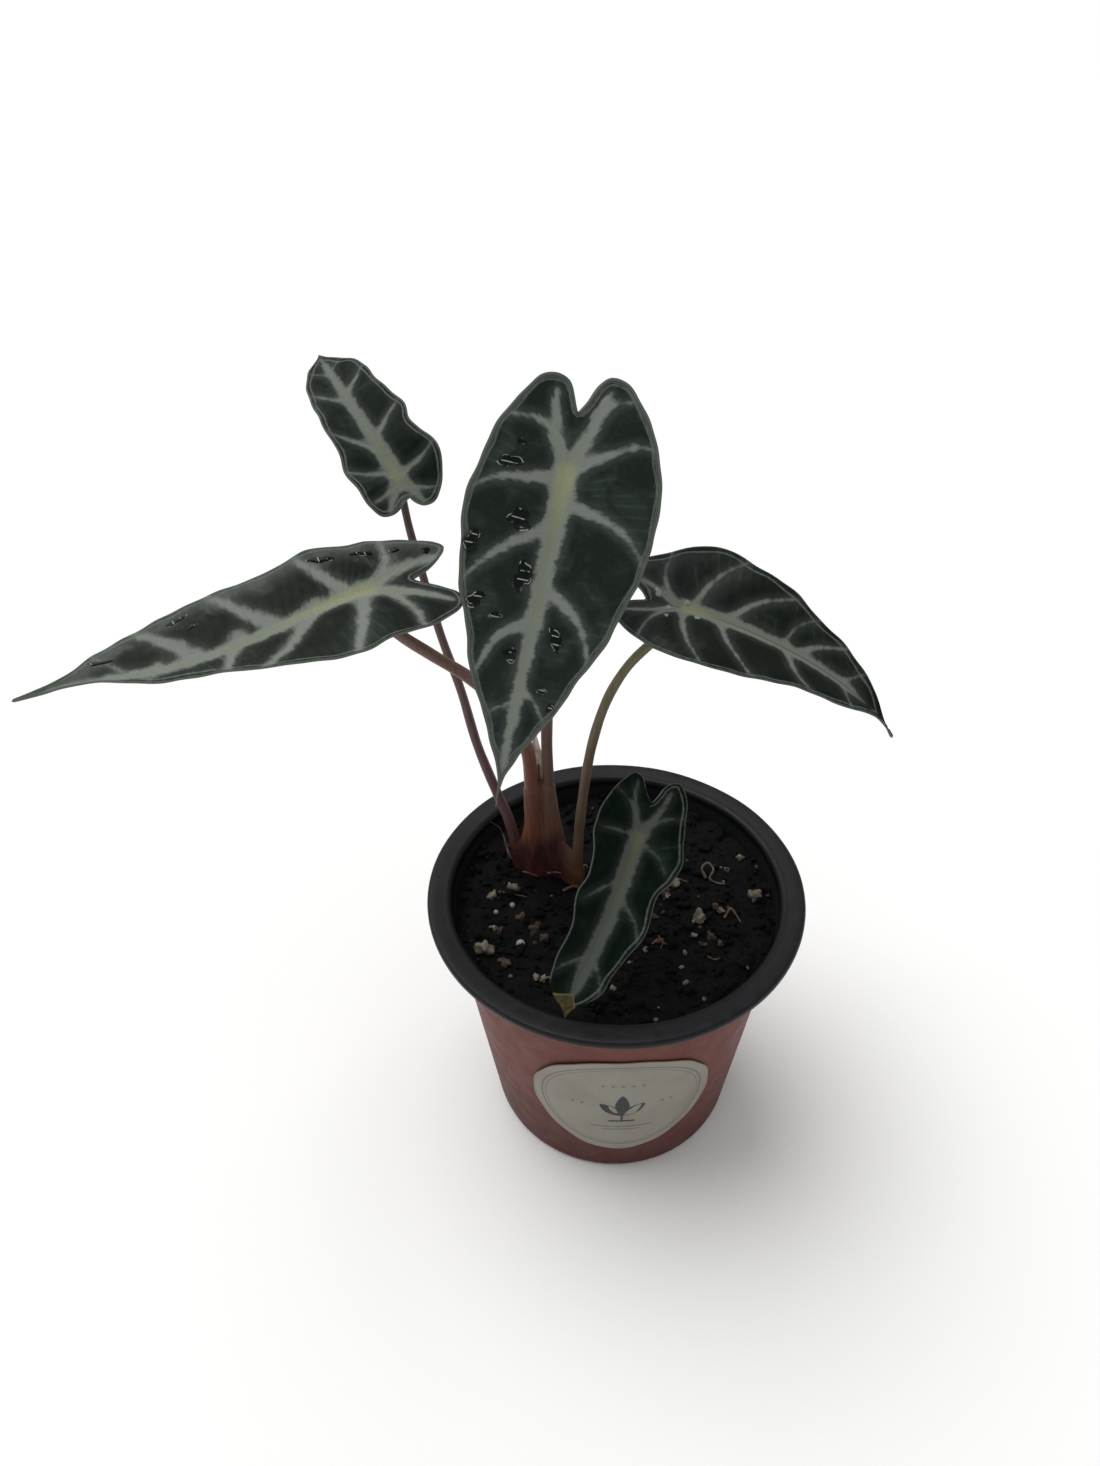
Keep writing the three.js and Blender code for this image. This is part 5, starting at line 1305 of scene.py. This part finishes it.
# Water
def build_water(look):
    draw = random.Random(5)
    dark = water_finish("water_patch", (shade(4, 8, 6), shade(18, 26, 20)))
    # The drops on the right leaf are painted pale: painted glare on the water.
    pale = water_finish("water_drop", (shade(92, 98, 92), shade(150, 156, 150)))
    for leaf in LEAVES:
        spots = [spot for spot in WATER if spot[0] == leaf["name"]]
        if not spots:
            continue
        whole = bmesh.new()
        for _, x, y, half_length, half_width, turn in spots:
            bm = bmesh.new()
            disc(bm, [step / 12 for step in range(13)], 44)
            unit = places_of(bm)[:, :2]
            reach = np.linalg.norm(unit, axis=1)
            angle = np.arctan2(unit[:, 1], unit[:, 0])
            phase = draw.uniform(0, 6.3, ), draw.uniform(0, 6.3), draw.uniform(0, 6.3)
            swell = 1 + 0.2 * np.sin(2 * angle + phase[0]) + 0.16 * np.sin(3 * angle + phase[1]) + 0.1 * np.sin(5 * angle + phase[2])
            across = unit[:, 0] * half_length * swell
            along = unit[:, 1] * half_width * swell
            c, s = math.cos(math.radians(turn)), math.sin(math.radians(turn))
            flat = np.column_stack([x + across * c - along * s, y + across * s + along * c])
            height = 0.3 * min(half_length, half_width, 1.4) * np.sqrt(np.clip(1 - reach ** 3, 0, 1))
            store(bm, "brim", reach)
            store(bm, "patch", np.column_stack([flat, np.full(len(flat), phase[0] * 9)]))
            share = np.clip(np.abs(flat[:, 0]) / max(abs(np.array(leaf["plus"])[:, 0]).max(), 1), 0, 1)
            base = surface_lift(leaf, look, flat, share * 0.9)
            set_places(bm, blade_places(leaf, flat, base + height + 0.02))
            thicken(bm, blade_places(leaf, flat, base - 0.25))
            mesh = bpy.data.meshes.new("drop")
            bm.to_mesh(mesh)
            bm.free()
            whole.from_mesh(mesh)
            bpy.data.meshes.remove(mesh)
        for face in whole.faces:
            face.material_index = 0
        piece(f"water_{leaf['name']}", whole, [pale if leaf["name"] == "right" else dark])


# Operators
class ALOCASIA_OT_stage(bpy.types.Operator):
    """Make the camera, the pale floor and the soft lights"""

    bl_idname = "alocasia.stage"
    bl_label = "Stage"

    def execute(self, context):
        look = context.scene.alocasia_stage
        yaw, pitch, roll = math.radians(-4.6), math.radians(39.0), math.radians(1.5)
        ahead = Vector((math.sin(yaw) * math.cos(pitch), math.cos(yaw) * math.cos(pitch), -math.sin(pitch)))
        right = Vector((math.cos(yaw), -math.sin(yaw), 0))
        down = ahead.cross(right)
        across = math.cos(roll) * right + math.sin(roll) * down
        below = -math.sin(roll) * right + math.cos(roll) * down
        camera_data = bpy.data.cameras.new("camera")
        camera_data.sensor_fit = "AUTO"
        camera_data.sensor_width = 36
        camera_data.lens = 36 * 1100 / 1466
        camera_data.clip_start, camera_data.clip_end = 0.01, 60
        camera = bpy.data.objects.new("camera", camera_data)
        turn = Matrix((across, -below, -ahead)).transposed().to_4x4()
        camera.matrix_world = Matrix.Translation((0, -0.243, 0.3555)) @ turn
        context.scene.collection.objects.link(camera)
        context.scene.camera = camera
        bm = bmesh.new()
        bmesh.ops.create_grid(bm, x_segments=8, y_segments=8, size=9)
        mesh = bpy.data.meshes.new("floor")
        bm.to_mesh(mesh)
        bm.free()
        finish = Finish("floor", **{"Roughness": 0.9, "Specular IOR Level": 0.1})
        tone = finish.grain(finish.place((0.001, 0.001, 0.001)), 3.0, 2.0)
        finish.set("Base Color", finish.blend(finish.fade(tone, 0.2, 0.8), look.floor, tinted(look.floor, (0.985, 0.985, 0.985))))
        mesh.materials.append(finish.material)
        floor = bpy.data.objects.new("floor", mesh)
        context.scene.collection.objects.link(floor)
        sun = bpy.data.lights.new("key_sky", "SUN")
        sun.angle = look.softness
        sun.energy = look.key
        light = bpy.data.objects.new("key_sky", sun)
        light.rotation_euler = Vector((-0.35, 0.22, 0.9)).to_track_quat("Z", "Y").to_euler()
        context.scene.collection.objects.link(light)
        world = bpy.data.worlds.new("studio")
        world.use_nodes = True
        background = world.node_tree.nodes["Background"]
        background.inputs["Color"].default_value = (1, 1, 1, 1)
        background.inputs["Strength"].default_value = look.sky
        context.scene.world = world
        context.scene.view_settings.view_transform = "Standard"
        return {"FINISHED"}


class ALOCASIA_OT_pot(bpy.types.Operator):
    """Turn the pot with its flat black rim and drain holes"""

    bl_idname = "alocasia.pot"
    bl_label = "Pot"

    def execute(self, context):
        build_pot(context.scene.alocasia_pot)
        return {"FINISHED"}


class ALOCASIA_OT_label(bpy.types.Operator):
    """Wrap the round printed label on the pot"""

    bl_idname = "alocasia.label"
    bl_label = "Label"

    def execute(self, context):
        build_label(context.scene.alocasia_label)
        build_print(context.scene.alocasia_label)
        return {"FINISHED"}


class ALOCASIA_OT_soil(bpy.types.Operator):
    """Fill the pot with peat, crumbs, perlite, bark and roots"""

    bl_idname = "alocasia.soil"
    bl_label = "Soil"

    def execute(self, context):
        build_soil(context.scene.alocasia_soil)
        build_crumbs(context.scene.alocasia_soil)
        build_curls(context.scene.alocasia_soil)
        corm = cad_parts["corm"]
        if not corm.material_slots:
            corm.data.materials.append(None)
        for slot in corm.material_slots:
            slot.material = corm_finish()
        return {"FINISHED"}


class ALOCASIA_OT_stalks(bpy.types.Operator):
    """Grow the five stalks, the sheaths at their feet, the papery sheath and its scraps"""

    bl_idname = "alocasia.stalks"
    bl_label = "Stalks"

    def execute(self, context):
        for leaf in LEAVES:
            build_stalk(leaf)
        paper = paper_sheath_finish()
        build_cataphyll(paper)
        build_clump(clump_finish())
        build_scraps()
        return {"FINISHED"}


class ALOCASIA_OT_leaves(bpy.types.Operator):
    """Shape the five patterned leaf blades"""

    bl_idname = "alocasia.leaves"
    bl_label = "Leaves"

    def execute(self, context):
        for leaf in LEAVES:
            build_blade(leaf, context.scene.alocasia_leaf)
        return {"FINISHED"}


class ALOCASIA_OT_water(bpy.types.Operator):
    """Leave a few drops of water on the leaves"""

    bl_idname = "alocasia.water"
    bl_label = "Water"

    def execute(self, context):
        build_water(context.scene.alocasia_leaf)
        return {"FINISHED"}


class ALOCASIA_PT_panel(bpy.types.Panel):
    """Lists the steps that build the plant, with their sizes and colours"""

    bl_idname = "ALOCASIA_PT_panel"
    bl_label = "Potted Alocasia"
    bl_space_type = "VIEW_3D"
    bl_region_type = "UI"
    bl_category = "Alocasia"

    def draw(self, context):
        for operator, settings in STEPS:
            box = self.layout.box()
            box.operator(operator.bl_idname)
            look = getattr(context.scene, settings, None)
            for name in type(look).__annotations__ if look else ():
                box.prop(look, name)


STEPS = (
    (ALOCASIA_OT_stage, "alocasia_stage"),
    (ALOCASIA_OT_pot, "alocasia_pot"),
    (ALOCASIA_OT_label, "alocasia_label"),
    (ALOCASIA_OT_soil, "alocasia_soil"),
    (ALOCASIA_OT_stalks, ""),
    (ALOCASIA_OT_leaves, "alocasia_leaf"),
    (ALOCASIA_OT_water, ""),
)
LOOKS = {
    "alocasia_leaf": AlocasiaLeafLook,
    "alocasia_pot": AlocasiaPotLook,
    "alocasia_label": AlocasiaLabelLook,
    "alocasia_soil": AlocasiaSoilLook,
    "alocasia_stage": AlocasiaStageLook,
}


def register():
    for name, look in LOOKS.items():
        bpy.utils.register_class(look)
        setattr(bpy.types.Scene, name, bpy.props.PointerProperty(type=look))
    for operator, _ in STEPS:
        bpy.utils.register_class(operator)
    bpy.utils.register_class(ALOCASIA_PT_panel)


def unregister():
    bpy.utils.unregister_class(ALOCASIA_PT_panel)
    for operator, _ in reversed(STEPS):
        bpy.utils.unregister_class(operator)
    for name, look in LOOKS.items():
        delattr(bpy.types.Scene, name)
        bpy.utils.unregister_class(look)


def main():
    register()
    bpy.ops.alocasia.stage()
    bpy.ops.alocasia.pot()
    bpy.ops.alocasia.label()
    bpy.ops.alocasia.soil()
    bpy.ops.alocasia.stalks()
    bpy.ops.alocasia.leaves()
    bpy.ops.alocasia.water()
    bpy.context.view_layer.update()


if __name__ == "__main__":
    main()
